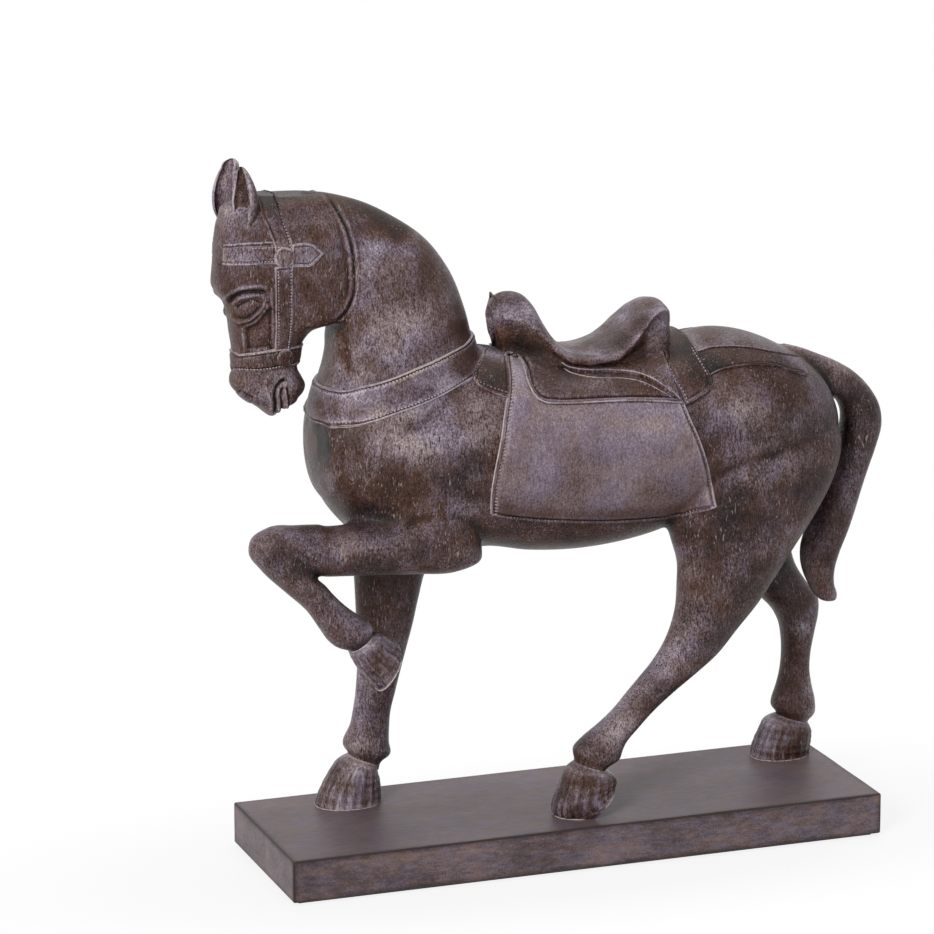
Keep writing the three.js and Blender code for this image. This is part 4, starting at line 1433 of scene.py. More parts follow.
FACE = [
    Stroke(THROAT, 0.9, 0.85, 0.04),
    Stroke(shifted(THROAT, 2.1), 0.6, -0.75, 0.04),
    Stroke(shifted(THROAT, 3.8), 0.7, 0.65, 0.04),
    Mound((-170.5, 303.5), (9.8, 6.8), -2.0, 10),
    Mound((-170.5, 302.2), (6.0, 4.3), 2.7, 15),
    Stroke(
        [
            (-182, 306.5), (-180, 310), (-176, 312.5), (-169, 313.6), (-162, 313.4),
            (-157.5, 312),
        ],
        1.3, 1.6,
    ),
    Stroke(
        [
            (-180.5, 305.5), (-177.5, 309), (-172, 310.6), (-165, 310.9), (-159.5, 310),
        ],
        0.9, -1.8,
    ),
    Stroke(
        [
            (-178.8, 304.5), (-174.5, 307.3), (-168.5, 308.5), (-163, 308.4), (-160, 306.5),
        ],
        0.8, 0.9,
    ),
    Stroke([(-176.5, 303), (-172, 305.4), (-167, 306), (-163.5, 305.2)], 0.6, -0.6),
    Stroke(
        [
            (-179, 302), (-177.5, 298), (-175, 296), (-170.5, 295.8), (-165.5, 298.6),
            (-161.5, 303), (-160.3, 307),
        ],
        0.75, 1.1,
    ),
    Stroke([(-176, 299), (-171.5, 297.8), (-167, 299.8), (-163.2, 303.4)], 0.6, -0.6),
    Stroke([(-172.5, 293.6), (-167.5, 294.3), (-162.8, 297.8), (-159.2, 303)], 0.8, 0.7),
    Stroke([(-173.2, 294.6), (-168, 295.4), (-163.6, 298.6)], 0.5, -0.6),
    Mound((-182, 313), (5, 3.5), 0.9, -30),
    Panel(
        [(-171.2, 292.5), (-170.6, 280), (-157, 280), (-156.8, 303), (-160.5, 300), (-165, 295)],
        -1.1,
        1.4,
    ),
    Stroke([(-173, 294), (-172, 287), (-171, 279.5)], 0.8, 1.1),
    Stroke([(-171, 280.6), (-164, 280.6), (-157.5, 281.0)], 0.7, 1.1),
    Stroke([(-157, 312), (-156.6, 298), (-156.8, 281)], 0.55, 0.9),
    Mound((-176, 266), (4, 4), 0.7),
    Mound((-173.5, 261.5), (3, 1.6), -0.9, 20),
    Stroke([(-176.5, 259.8), (-173.5, 259), (-170, 257), (-167, 255.6)], 0.8, -1.3),
    Stroke([(-176, 257.6), (-172, 255.7), (-168.5, 253.9)], 0.9, 0.6),
    Stroke(
        [
            (-156, 246.5), (-155.3, 251), (-155.8, 256), (-154.4, 261), (-152, 263.6),
            (-149.5, 264.2),
        ],
        0.9, -2.2, 0.02,
    ),
    Stroke([(-151.8, 247), (-152.2, 252), (-152.6, 257), (-151.4, 260.5)], 0.65, -1.3, 0.05),
    Stroke([(-149.4, 247), (-149.2, 252), (-150, 257), (-150.6, 261)], 0.6, 0.8, 0.05),
    Stroke([(-148.3, 250), (-148.6, 255), (-149.8, 260.5)], 0.55, -0.9, 0.05),
    Stroke([(-157.2, 268.5), (-160, 265), (-160.6, 260), (-158.5, 254), (-157.8, 248)], 0.9, 0.7),
    Mound((-145, 261), (3.5, 4.5), 0.7),
    Stroke([(-129.5, 291), (-128.5, 280), (-127, 268), (-126.5, 258)], 3.2, -0.5, 0.2),
    Stroke([(-123, 294), (-119.5, 284), (-117.5, 273), (-116.5, 262)], 2.4, -0.9, 0.2),
    Stroke([(-117.5, 293), (-114.5, 283), (-113, 272), (-113, 262)], 1.8, 0.5, 0.2),
]


# Where the skin closes over the fold between the chest and the raised arm
CREASE = Stroke([(-134, 186.5), (-118, 188), (-106, 187), (-95, 183.5), (-84, 178)], 7.0, 1.0, 0.12)
BODY = [
    Stroke([(-72, 196), (-66, 189), (-63.5, 181), (-64, 172)], 3.0, -0.7, 0.4),
    Mound((-63, 187), (6, 4), 0.7, 40),
]


@dataclass
class HorseSkin:
    """The horse's skin: the head with the neck, and the body with the legs and tail.

    Both are fused from the castings' own sections, so they run on under the breast
    collar, where one ends and the other starts. The head stops at the seam's plane and
    its carving fades at the middle of the poll; the tail stands clear of the rump at
    tail_gap.
    """

    wardrobe: Wardrobe
    head_voxel: float = 0.62
    body_voxel: float = 1.15
    seam_point: tuple[float, float, float] = (-97.0, 0.0, 259.3)
    seam_normal: tuple[float, float, float] = (-0.293, 0.0, 0.956)
    shoulder_height: float = 215.0
    poll_height: float = 345.0
    tail_gap: Mound = Mound((157, 224), (8, 18), 1.0)
    whole: Piece = field(init=False)
    whole_head: Piece = field(init=False)

    def torso(self) -> Shell:
        """The barrel."""
        return Loft(TORSO, roundness=2.25, rings=160, sides=96).shell()

    def neck(self) -> Shell:
        """The neck."""
        return Loft(NECK, taper=0.12, sides=96).shell()

    def cut(self, name: str, points: Array, faces: list[Array], keep: int) -> Piece:
        """A piece of the skin on one side of the seam: 1 below its plane, -1 above it."""
        made = mesh_from(name, points, faces)
        cut_and_close(made, np.array(self.seam_point) * MM, keep * np.array(self.seam_normal))
        return made

    def head(self) -> None:
        """Head and neck above the collar."""
        skull = Loft(HEAD, roundness=2.45, rings=180, sides=120).shell()
        chest = Loft(TORSO[:8], roundness=2.25, rings=80, sides=96).shell()
        points, faces = fuse([skull, self.neck(), chest], self.head_voxel * MM)
        keep = points[:, 2] > self.shoulder_height * MM
        pairs = pairs_of(faces)
        points = even(points, pairs, 6)
        points = np.where(keep[:, None], fill_creases(points, faces, pairs, 60, 6 * MM), points)
        points = even(points, pairs, 8)
        away = ease((np.abs(points[:, 1]) / MM - 2.0) / 8.0)
        poll = points[:, 2] > self.poll_height * MM
        points = carve(points, faces, FACE, np.where(poll, away, 1.0))
        points = relax(points, pairs, 1, 0.3)
        self.whole_head = mesh_from("whole_head", points, faces)
        made = self.cut("horse_head", points, faces, -1)
        dress(made, self.wardrobe.head, Part.HORSE, "head", "neck", wear=0.22)

    def body(self) -> None:
        """Barrel, legs down to the hooves and tail."""
        shells = [self.torso(), self.neck(), Loft(TAIL, sides=48).shell()]
        shells += [Loft(leg.limb, leg.side, sides=56).shell() for leg in LEGS]
        points, faces = fuse(shells, self.body_voxel * MM)
        pairs = pairs_of(faces)
        points = even(points, pairs, 4)
        parted = self.tail_gap.height(STATION.drawn(points))[:, None]
        filled = fill_creases(points, faces, pairs, 70, 9 * MM)
        points = even(filled + parted * (points - filled), pairs, 6)
        near = ease(-points[:, 1] / (8.0 * MM))
        soft = np.clip(1.4 * CREASE.height(STATION.drawn(points)) * near, 0.0, 1.0)[:, None]
        points = points + soft * (relax(points, pairs, 110) - points)
        points = even(points, pairs, 3)
        points = carve(points, faces, BODY, near)
        self.whole = mesh_from("whole_skin", points, faces)
        made = self.cut("horse_body", points, faces, 1)
        nodes = ["torso", "tail"] + [leg.name for leg in LEGS]
        dress(made, self.wardrobe.horse, Part.HORSE, *nodes, wear=0.35)

    def hoof(self, leg: Leg) -> None:
        """One hoof: growth lines run down its wall as shallow ridges.

        The wall's radius is multiplied by 1 plus 0.009 times a sum of sines of 19, 31 and
        47 times the angle, plus 0.006 times the sine of 38 times the height's share. The
        wash is lighter in a narrow band a tenth of the way down.
        """
        rings, sides = 70, 110
        points, faces = Loft(leg.hoof, leg.side, rings=rings, sides=sides).shell()
        grid = points[:-2].reshape(rings, sides, 3)
        middle = grid.mean(1, keepdims=True)
        turn = np.linspace(0, 2 * math.pi, sides, endpoint=False)
        along = np.linspace(0, 1, rings)[:, None]
        lines = np.sin(19 * turn + 3 * along) + 0.7 * np.sin(31 * turn + 1.7)
        lines = lines + 0.5 * np.sin(47 * turn)
        swell = 1.0 + 0.009 * lines * ease(along / 0.3)
        swell = swell + 0.006 * np.sin(38 * along + 0.8 * np.sin(turn))
        points[:-2] = (middle + (grid - middle) * swell[..., None]).reshape(-1, 3)
        kind, side = leg.name.split("leg_")
        made = mesh_from(f"hoof_{kind}_{side}", points, faces)
        pale = np.zeros(len(points))
        pale[:-2] = np.repeat(-0.5 * np.exp(-(((along[:, 0] - 0.1) / 0.035) ** 2)), sides)
        mark(made, "stain_and_shade", pale)
        dress(made, self.wardrobe.hoof, Part.HORSE, wear=0.15)

    def hoof_rim(self, leg: Leg) -> None:
        """The pale bead round the foot of a hoof, as far as it meets the plinth."""
        rings, sides = 140, 110
        points = Loft(leg.hoof, leg.side, rings=rings, sides=sides).shell()[0]
        grid = points[:-2].reshape(rings, sides, 3)
        level = (DECK + 0.3) * MM
        gap = np.abs(grid[..., 2] - level)
        touches = gap.min(0) < 0.7 * MM
        line = grid[-1]
        if leg is not FORE_RAISED:
            line = grid[np.argmin(gap, axis=0), np.arange(sides)]
            line[:, 2] = level
        if touches.all() or leg is FORE_RAISED:
            ring = np.arange(sides)
            line = relax(np.concatenate([line, line[:1]]), np.stack([ring, ring + 1], 1), 2)
            line[-1] = line[0]
            shell = bead(line, 0.3, 8, closed=True)
        else:
            lifted = int(np.argmin(touches))
            start = lifted + int(np.argmax(np.roll(touches, -lifted)))
            shell = piping(np.roll(line, -start, axis=0)[: int(touches.sum())], 0.36)
        made = mesh_from("hoof_rim_" + leg.name, *shell)
        dress(made, self.wardrobe.rim, Part.HORSE, wear=0)


# Middle line x, y, z and half width of each ear, from the base to the tip
LEFT_EAR = [
    [-174.3, 11.0, 338.0, 2.2], [-174.8, 12.2, 348.0, 4.7], [-174.4, 12.7, 354.4, 6.7],
    [-174.1, 12.8, 360.4, 7.9], [-174.4, 12.8, 367.0, 6.3], [-174.9, 12.6, 372.0, 4.5],
    [-175.6, 12.5, 375.6, 2.9], [-176.0, 12.4, 377.6, 1.3],
]
RIGHT_EAR = [
    [-173.0, 11.6, 336.0, 4.6], [-174.9, 12.6, 346.0, 6.8], [-175.6, 12.9, 350.5, 8.2],
    [-175.7, 13.2, 358.0, 8.9], [-175.2, 13.1, 366.2, 7.6], [-174.4, 12.9, 372.2, 5.4],
    [-173.5, 12.7, 376.2, 3.6], [-173.1, 12.6, 377.4, 1.6],
]


@dataclass
class Ear:
    """A cupped ear: a crescent carried from the base to the tip.

    The section's outer arc is a circle and its inner arc a smaller one set towards the
    opening, with one fold in it; both shrink with the leaf-shaped width along the ear.
    """

    name: str
    side: int
    table: list[list[float]]
    facing: float
    # How dark the inner arc is made: painted shade in the hollow together with stain
    stain_and_shade: float
    rows: int = 90
    across: int = 40

    def section(self, v: Array) -> Array:
        """The crescent at each share of the ear's length, for a half width of 1."""
        turn = np.linspace(-0.5 * math.pi - 0.5, 0.5 * math.pi + 0.5, self.across)
        outer = np.stack([np.sin(turn), -np.cos(turn)], 1)
        back = turn[::-1]
        depth = 0.62 * ease(v / 0.25)[:, None, None] + 0.12
        fold = 1.0 - 0.3 * np.exp(-(((back - 0.55) / 0.2) ** 2))
        inner = np.stack([np.sin(back) * 0.72 * fold, -np.cos(back) * 0.62 * fold], 1)
        inner = inner[None] + np.array([0.0, 0.28]) * depth / 0.74
        deep = ease(v / 0.3)[:, None, None]
        inner = inner * deep + (1 - deep) * outer[::-1][None] * np.array([0.8, -0.7])
        return np.concatenate([np.broadcast_to(outer, (self.rows, self.across, 2)), inner], 1)

    def build(self, wardrobe: Wardrobe) -> None:
        """The ear, with its opening turned facing degrees outwards from straight ahead."""
        v = np.linspace(0.0, 1.0, self.rows)
        table = np.array(self.table)
        length = arc(table[:, :3])
        line = hermite(length / length[-1], table, v)
        path, half = line[:, :3], line[:, 3:]
        path[:, 1] *= self.side
        section = self.section(v)
        angle = math.radians(self.facing)
        opening = np.array([-math.cos(angle), self.side * math.sin(angle), 0.0])
        across = np.array([-opening[1], opening[0], 0.0])
        points = path[:, None] + half[:, None] * (
            section[..., :1] * across + 0.68 * section[..., 1:] * opening
        )
        columns = section.shape[1]
        flat = np.concatenate([points.reshape(-1, 3), path[:1], path[-1:]]) * MM
        made = mesh_from(self.name + "_shell", *outward(flat, capped(self.rows, columns)))
        # The inner arc darkened: painted shade in the ear's hollow together with stain, much deeper
        # on the near ear
        stain_and_shade = np.zeros((self.rows, columns))
        stain_and_shade[:, self.across + 6 : -6] = self.stain_and_shade  # the inner arc without its ends
        mark(made, "stain_and_shade", np.append(stain_and_shade.ravel(), [0.0, 0.0]))
        dress(made, wardrobe.ear, Part.HORSE, self.name, wear=0.3)


# Saddlery

# Outlines of the near side's layers, as drawn points
SEEN = {
    "cloth_front": [
        (-35.1, 272.7), (-32.4, 269.8), (-30.5, 263.5), (-29.6, 254.6), (-30.0, 245.7),
        (-31.4, 237.0), (-33.2, 223.8), (-35.5, 212.4), (-37.3, 203.6), (-38.7, 193.8),
        (-39.3, 183.3),
    ],
    "cloth_bottom": [
        (-39.3, 183.3), (-28.9, 180.6), (-16.8, 178.4), (-3.8, 176.4), (11.3, 174.6), (24.5, 173.4),
        (37.7, 172.8), (51.9, 172.8), (66.2, 173.3), (77.7, 173.9), (85.3, 174.8), (89.6, 176.0),
    ],
    "cloth_rear": [
        (66.5, 242.0), (70.2, 233.7), (73.6, 225.8), (78.1, 216.3), (82.0, 206.0), (85.0, 195.8),
        (87.1, 186.5), (88.6, 179.1), (89.6, 176.0),
    ],
    "skirt_front": [
        (-31.2, 267.6), (-28.2, 267.6), (-25.0, 266.8), (-22.2, 263.7), (-20.4, 258.7),
        (-19.0, 252.9), (-16.6, 247.3), (-13.4, 242.8), (-8.7, 240.0),
    ],
    "skirt_bottom": [
        (-8.7, 240.0), (-0.3, 238.7), (13.7, 238.0), (27.7, 237.6), (41.8, 236.8), (56.0, 235.3),
        (69.7, 233.5),
    ],
    "flap_bottom": [
        (-2.3, 264.0), (0.5, 261.2), (4.2, 258.7), (10.7, 256.8), (18.2, 255.7), (27.6, 255.0),
        (36.9, 253.8), (44.5, 251.9), (52.1, 248.3), (58.7, 243.7), (64.5, 239.2), (68.5, 235.2),
    ],
    "flap_light": [
        (1.6, 258.6), (4.3, 256.6), (9.9, 254.4), (16.8, 252.6), (25.7, 251.4), (35.1, 250.5),
        (42.6, 248.8), (50.2, 245.7), (57.8, 241.1), (64.4, 236.9),
    ],
    "pad_front": [(56.7, 257.2), (60.5, 251.1), (64.4, 244.5), (68.3, 237.9), (70.0, 233.6)],
    "pad_bottom": [
        (70.0, 233.6), (74.0, 234.8), (78.7, 237.1), (83.0, 239.7), (84.8, 242.6), (84.3, 247.5),
    ],
    "pad_rear": [
        (66.9, 274.6), (70.2, 270.1), (74.6, 263.9), (78.4, 257.8), (81.8, 252.2), (84.3, 247.5),
    ],
    "tab_front": [
        (-38.3, 272.2), (-42.0, 271.0), (-44.3, 268.1), (-46.6, 264.3), (-49.1, 259.6),
        (-48.9, 256.1),
    ],
    "tab_bottom": [
        (-48.9, 256.1), (-46.6, 252.8), (-42.0, 249.8), (-36.5, 247.1), (-29.5, 244.4),
    ],
}

# Where rear lines start under the seat, and the collar's edges: near side, x, y and z
UNDER_SEAT = [(51, -15, 262), (50, -28, 256)]
COLLAR = {
    "collar_upper": [
        (-135, 7, 256), (-133, -9, 260), (-126, -20, 261), (-118, -25, 264), (-110, -29, 266),
        (-100, -30, 269), (-91, -31, 272), (-80, -30, 275), (-69, -26, 278), (-59, -19, 280),
        (-55, -10, 281.5),
    ],
    "collar_lower": [
        (-139, 0, 238), (-136, -16, 241.5), (-129, -26, 242.6), (-120, -29, 244), (-111, -32, 247),
        (-102, -34, 250), (-92, -34, 252.6), (-82, -34, 255.4), (-71, -31, 258.7), (-60, -26, 262),
        (-50, -15, 267),
    ],
}

# Painted light and shade, with the stain's own light and dark, as amounts of wash: depth is no
# height here
PAINTED_LIGHT_AND_STAIN = [
    # Dark poll and crest, pale cheek and throat
    Stroke([(-170, 361), (-136, 363), (-112, 358), (-95, 347), (-80, 334)], 10.0, -0.62),
    Mound((-140, 327), (24, 9), 0.1),
    Mound((-102, 320), (12, 18), 0.27),
    Mound((-133, 300), (15, 15), -0.16),
    # Neck: pale middle, dark edge by the withers
    Mound((-85, 272), (15, 16), 0.28),
    Stroke([(-52, 290), (-50, 275), (-52, 256)], 9.0, -0.3),
    # Breast and shoulder: painted shade down the breast and behind the elbow, painted highlights
    # on the shoulder and along the top of the raised arm
    Stroke([(-134, 255), (-130, 235), (-129, 212)], 8.0, -0.2),
    Stroke([(-98, 224), (-70, 221), (-46, 227), (-42, 252)], 11.0, 0.26),
    Mound((-58, 171), (24, 14), -0.36),
    Mound((-122, 171), (26, 5), 0.2),
    # Pads, rump and haunch
    Mound((-38, 256), (9, 10), -0.26),
    Mound((-28, 297), (12, 7), -0.22),
    Mound((86, 274), (20, 8), -0.38),
    Mound((88, 250), (16, 8), -0.16),
    Mound((55, 279), (7, 9), 0.26),
    Mound((105, 229), (17, 10), 0.24),
    Mound((123, 193), (20, 38), -0.18),
    # Painted shade along the underside of the barrel
    Mound((17, 166), (62, 6), -0.1),
    # Tail
    Mound((166, 196), (10, 14), 0.14),
    Mound((161, 168), (12, 30), -0.12),
    Mound((147, 130), (12, 18), -0.18),
    # Legs and hooves
    Mound((84, 114), (16, 24), 0.18),
    Mound((58, 103), (9, 12), -0.12),
    # Painted highlight on the near hind fetlock
    Mound((35, 56), (14, 10), 0.28),
    Mound((155, 52), (12, 24), -0.3),
    Mound((150, 22), (15, 11), -0.2),
    Mound((15, 27), (14, 16), -0.12),
    Mound((-102, 16), (14, 12), 0.16),
    # Bridge of the nose
    Mound((-163, 256), (10, 8), 0.14),
    # Hem of the saddle cloth
    Stroke([(u, v + 2.5) for u, v in SEEN["cloth_bottom"]], 4.5, -0.16),
]


@dataclass
class Wrap:
    """A chart round a part of the horse, with the place of any point in it.

    The first coordinate runs along the axis in millimetres and the second is the angle
    round it in degrees, 0 at up and rising towards the near side. Their lines:
    place = ((p - origin) . axis, atan2((p - origin) . near, (p - origin) . up)).
    """

    skin: Piece
    origin: tuple[float, float, float]
    axis: tuple[float, float, float]
    up: tuple[float, float, float]
    span: tuple[float, float]
    turn: tuple[float, float]
    reach: float = 75.0
    step: tuple[float, float] = (0.9, 1.1)
    chart: Chart = field(init=False)

    def __post_init__(self) -> None:
        """Drops the chart onto the skin."""
        a = np.arange(self.span[0], self.span[1] + 1e-6, self.step[0])
        b = np.arange(self.turn[0], self.turn[1] + 1e-6, self.step[1])
        self.chart = Chart.over(self.skin, a, b, self.start)

    def near(self) -> Array:
        """Direction square to axis and up, towards the near side."""
        side = np.cross(self.axis, self.up)
        return side if side[1] < 0 else -side

    def start(self, a: Array, b: Array) -> Array:
        """Points of the cylinder round the axis."""
        turn = np.radians(b)
        place = np.array(self.origin) + a[..., None] * np.array(self.axis)
        place = place + self.reach * np.cos(turn)[..., None] * np.array(self.up)
        return (place + self.reach * np.sin(turn)[..., None] * self.near()) * MM

    def place(self, points: Array) -> Array:
        """Chart coordinates of points in metres."""
        offset = points / MM - np.array(self.origin)
        turn = np.degrees(np.arctan2(offset @ self.near(), offset @ np.array(self.up)))
        return np.stack([offset @ np.array(self.axis), turn], -1)

    def real(self, line: Sequence[tuple[float, float, float]]) -> Array:
        """Chart coordinates of a list of places in millimetres."""
        return self.place(np.array(line, float) * MM)

    def seen(self, line: Sequence[tuple[float, float]], lift: float = 0.0) -> Array:
        """Chart coordinates of drawn points, on the near side.

        The nearest table point is improved by three steps of Newton's method on the
        table's own slopes.

        Args:
            line: Drawn points.
            lift: Height over the skin of the surface that they were drawn on.

        Returns:
            One row of coordinates for each point.
        """
        chart = self.chart
        raised = chart.points + chart.normals * lift * MM
        table = STATION.drawn(raised.reshape(-1, 3)).reshape(raised.shape[:2] + (2,))
        toward = np.array([STATION.x, STATION.y, STATION.z]) * MM - chart.points
        shows = ((chart.normals * toward).sum(-1) > 0) & (raised[..., 1] < 6 * MM)
        target = np.array(line, float)
        gap = ((table[None] - target[:, None, None]) ** 2).sum(-1)
        gap = np.where(shows[None], gap, 1e9)
        best = gap.reshape(len(target), -1).argmin(1)
        i, j = np.unravel_index(best, table.shape[:2])
        place = np.stack([chart.a[i], chart.b[j]], -1)
        slope_a = np.gradient(table, chart.a, axis=0)
        slope_b = np.gradient(table, chart.b, axis=1)
        for _ in range(3):
            miss = target - chart.read(table, place)
            matrix = np.stack([chart.read(slope_a, place), chart.read(slope_b, place)], -1)
            matrix = matrix + np.eye(2) * 1e-9
            step = np.linalg.solve(matrix, miss[..., None])[..., 0]
            place = place + np.clip(step, -2.0, 2.0)
        return place


def mirrored(line: Array) -> Array:
    """The same line on the far side of a chart whose second coordinate is an angle."""
    return line * np.array([1.0, -1.0])


def over_back(near: Array, top: tuple[float, float], count: int) -> Array:
    """A line from the near side's far end, up over the middle and down the far side.

    Args:
        near: Chart coordinates from the top downwards on the near side.
        top: Chart coordinates of the highest point.
        count: Number of points wanted.

    Returns:
        count rows, from the near side's lower end to the far side's.
    """
    whole = np.concatenate([near[::-1], [top], mirrored(near)])
    return curve(whole * [1.0, 0.75], count) / [1.0, 0.75]


@dataclass
class Tack:
    """What saddlery and bridle share: rows of stitches and raised lines on both sides."""

    wardrobe: Wardrobe
    skin: Piece
    threads: list[tuple[Array, Array]] = field(default_factory=list)
    pipes: list[Shell] = field(default_factory=list)

    def both(self, wrap: Wrap, line: Array, height: float) -> list[tuple[Array, Array]]:
        """Points and normals at a height over a chart line, on the near side and the far."""
        skin, out = wrap.chart.at(line)
        return [((skin + out * height * MM) * side, out * side) for side in (NEAR, FAR)]

    def sew(self, wrap: Wrap, line: Array, height: float) -> None:
        """Remembers a row of stitches."""
        self.threads += self.both(wrap, line, height)

    def pipe(self, wrap: Wrap, line: Array, height: float, radius: float) -> None:
        """Remembers a thin raised line."""
        self.pipes += [piping(points, radius) for points, _ in self.both(wrap, line, height)]

    def thread(self, name: str, rows: list, pitch: float, length: float, radius: float) -> None:
        """Makes rows of stitches as one piece."""
        made = stitches(name, rows, pitch, length, radius)
        dress(made, self.wardrobe.thread, Part.TACK, wear=0)

    def lines(self, name: str) -> None:
        """Makes the raised lines as one piece."""
        dress(mesh_from(name, *joined(self.pipes)), self.wardrobe.piping, Part.TACK, wear=0)


@dataclass
class Saddlery(Tack):
    """Cloth, skirt, flap, pads, collar and crupper, each laid on the skin in order."""

    bars: list[tuple[Array, Array]] = field(default_factory=list)

    def __post_init__(self) -> None:
        """Makes the charts of the back and of the neck's base."""
        self.back = Wrap(
            self.skin, (0, 0, 205), (1, 0, 0), (0, 0, 1), (-70.0, 136.0), (-125.0, 125.0)
        )
        self.base = Wrap(
            self.skin, (-97.0, 0.0, 259.3), (-0.293, 0.0, 0.956), (-0.956, 0.0, -0.293),
            (-34.0, 30.0), (-186.0, 186.0), reach=70.0, step=(0.8, 1.2),
        )

    def lay(
        self,
        name: str,
        node: str,
        lines: Sequence[Array],
        border: Border,
        top: float,
        base: float,
        finish: Material | None = None,
    ) -> None:
        """Builds one layer over the back.

        Args:
            name: Name of the piece.
            node: CAD node it stands for.
            lines: Its near, front and rear lines in chart coordinates.
            border: How the border is finished.
            top: Thickness in millimetres.
            base: Height of the layer below in millimetres.
            finish: Its finish, leather if none is given.
        """
        near, front, rear = lines
        plan = coons(near, mirrored(near), front, rear)
        made = Layer(name, self.back.chart, plan, top, base, border).build()
        dress(made, finish or self.wardrobe.leather, Part.TACK, node, wear=SADDLE_WEAR)

    def behind(self, start: Sequence, rear: Array, x: float, count: int) -> Array:
        """A rear line over the back, which starts from real places under the seat."""
        return over_back(np.concatenate([self.back.real(start), rear]), (x, 0.0), count)

    def cloth(self) -> None:
        """The broad cloth: a raised line and bars of thread down its front and hem."""
        front = self.back.seen(SEEN["cloth_front"])[1:]
        bottom = self.back.seen(SEEN["cloth_bottom"])
        rear = self.back.seen(SEEN["cloth_rear"])
        bottom[0], bottom[-1] = front[-1], rear[-1]
        front_line = over_back(front, (-36.0, 0.0), 250)
        rear_line = self.behind([(53, -16, 262), (53, -28, 256)], rear, 52.0, 250)
        border = Border(0.9, groove=0.8, groove_at=1.9, width=0.75)
        self.pipe(self.back, curve(front + [0.5, 0.0], 220), 1.35, 0.34)
        lines = (curve(bottom, 150), front_line, rear_line)
        self.lay("cloth_panel", "saddle_cloth", lines, border, 1.5, 0.0, self.wardrobe.cloth)
        self.sew(self.back, curve(rear[1:] - [1.9, 0.0], 120), 1.3)
        self.ladder(curve(bottom[1:-1] - [0.0, 2.0], 140), 1.75, (0.5, 0.9))
        self.ladder(curve(front + [2.9, 0.0], 120), 1.45, (0.95, 0.4))

    def ladder(self, line: Array, height: float, half: tuple[float, float]) -> None:
        """Short bars across a line: each is a two-point line that takes one stitch."""
        station = arc(self.back.chart.at(line)[0]) / MM
        count = int(station[-1] / 1.85)
        at = (np.arange(count) + 0.5) * station[-1] / count
        for offset in sample(at, station, line):
            self.bars += self.both(self.back, np.array([offset - half, offset + half]), height)

    def skirt(self) -> None:
        """The long leaf under the flap, edged with a light bead and a dark groove."""
        front = self.back.seen(SEEN["skirt_front"], 1.6)
        bottom = self.back.seen(SEEN["skirt_bottom"], 1.6)
        bottom[0] = front[-1]
        rear = self.back.seen([(66.9, 242.0), (68.5, 237.5), (69.7, 233.5)], 1.6)
        rear[-1] = bottom[-1]
        front_line = over_back(front, (-30.5, 0.0), 190)
        rear_line = self.behind(UNDER_SEAT, rear, 52.0, 190)
        border = Border(1.1, groove=2.2, groove_at=2.6, width=0.8)
        edge = np.concatenate([front[:-1], bottom])
        self.pipe(self.back, curve(edge - [0.0, 0.7], 260), 2.9, 0.38)
        lines = (curve(bottom, 130), front_line, rear_line)
        self.lay("skirt_leaf", "saddle_skirt", lines, border, 1.9, 1.2)

    def flap(self) -> None:
        """The upper flap, which the seat stands on."""
        bottom = self.back.seen(SEEN["flap_bottom"], 4.4)
        near = curve(bottom, 120)
        first, last = near[0], near[-1]
        front = np.array([[first[0] - 7, first[1] * 0.5], first])
        front_line = over_back(front, (-13.0, 0.0), 120)
        rear_line = self.behind(UNDER_SEAT, last[None], 52.0, 120)
        self.pipe(self.back, curve(bottom - [0.0, 0.6], 160), 4.6, 0.3)
        self.pipe(self.back, curve(self.back.seen(SEEN["flap_light"], 3.2), 160), 3.1, 0.32)
        lines = (near, front_line, rear_line)
        self.lay("flap_leaf", "saddle_flap", lines, Border(1.2), 2.0, 3.0)

    def rear_pad(self) -> None:
        """The pad behind the cantle, stitched down both sides."""
        front = self.back.seen(SEEN["pad_front"], 2.5)
        bottom = self.back.seen(SEEN["pad_bottom"], 1.5)
        rear = self.back.seen(SEEN["pad_rear"], 1.5)[1:]
        bottom[0], bottom[-1] = front[-1], rear[-1]
        front_line = self.behind([(52, -12, 266), (49, -21, 261)], front, 53.0, 200)
        rear_line = over_back(rear, (66.5, 0.0), 200)
        border = Border(1.1, groove=0.5, groove_at=2.0, width=0.5)
        edge = np.concatenate([rear, bottom[::-1][1:]])
        self.pipe(self.back, curve(edge - [0.5, 0], 220), 3.0, 0.3)
        lines = (curve(bottom, 60), front_line, rear_line)
        self.lay("pad_behind", "rear_pad", lines, border, 2.8, 1.2)
        self.sew(self.back, curve(rear - [1.7, 0.0], 60), 3.6)
        self.sew(self.back, curve(front + [1.7, 0.0], 60), 3.6)

    def front_pad(self) -> None:
        """The tab between the collar and the cloth."""
        front = self.back.seen(SEEN["tab_front"])
        bottom = self.back.seen(SEEN["tab_bottom"])
        bottom[0] = front[-1]
        cloth = self.back.seen(SEEN["cloth_front"][1:6]) + [1.0, 0.0]
        cloth[-1] = bottom[-1]
        rear_line = over_back(cloth, (-34.0, 0.0), 150)
        front_line = over_back(front, (-44.0, 0.0), 150)
        border = Border(1.1, groove=0.5, groove_at=1.9, width=0.5)
        edge = np.concatenate([front[:-1], bottom])
        self.pipe(self.back, curve(edge + [0.5, 0], 160), 1.5, 0.3)
        lines = (curve(bottom, 60), front_line, rear_line)
        self.lay("pad_before", "front_pad", lines, border, 1.9, 0.0)
        self.sew(self.back, curve(front[2:] + [1.8, 0.0], 40), 1.7)
        self.sew(self.back, curve(bottom - [0.0, 2.6], 40), 1.7)

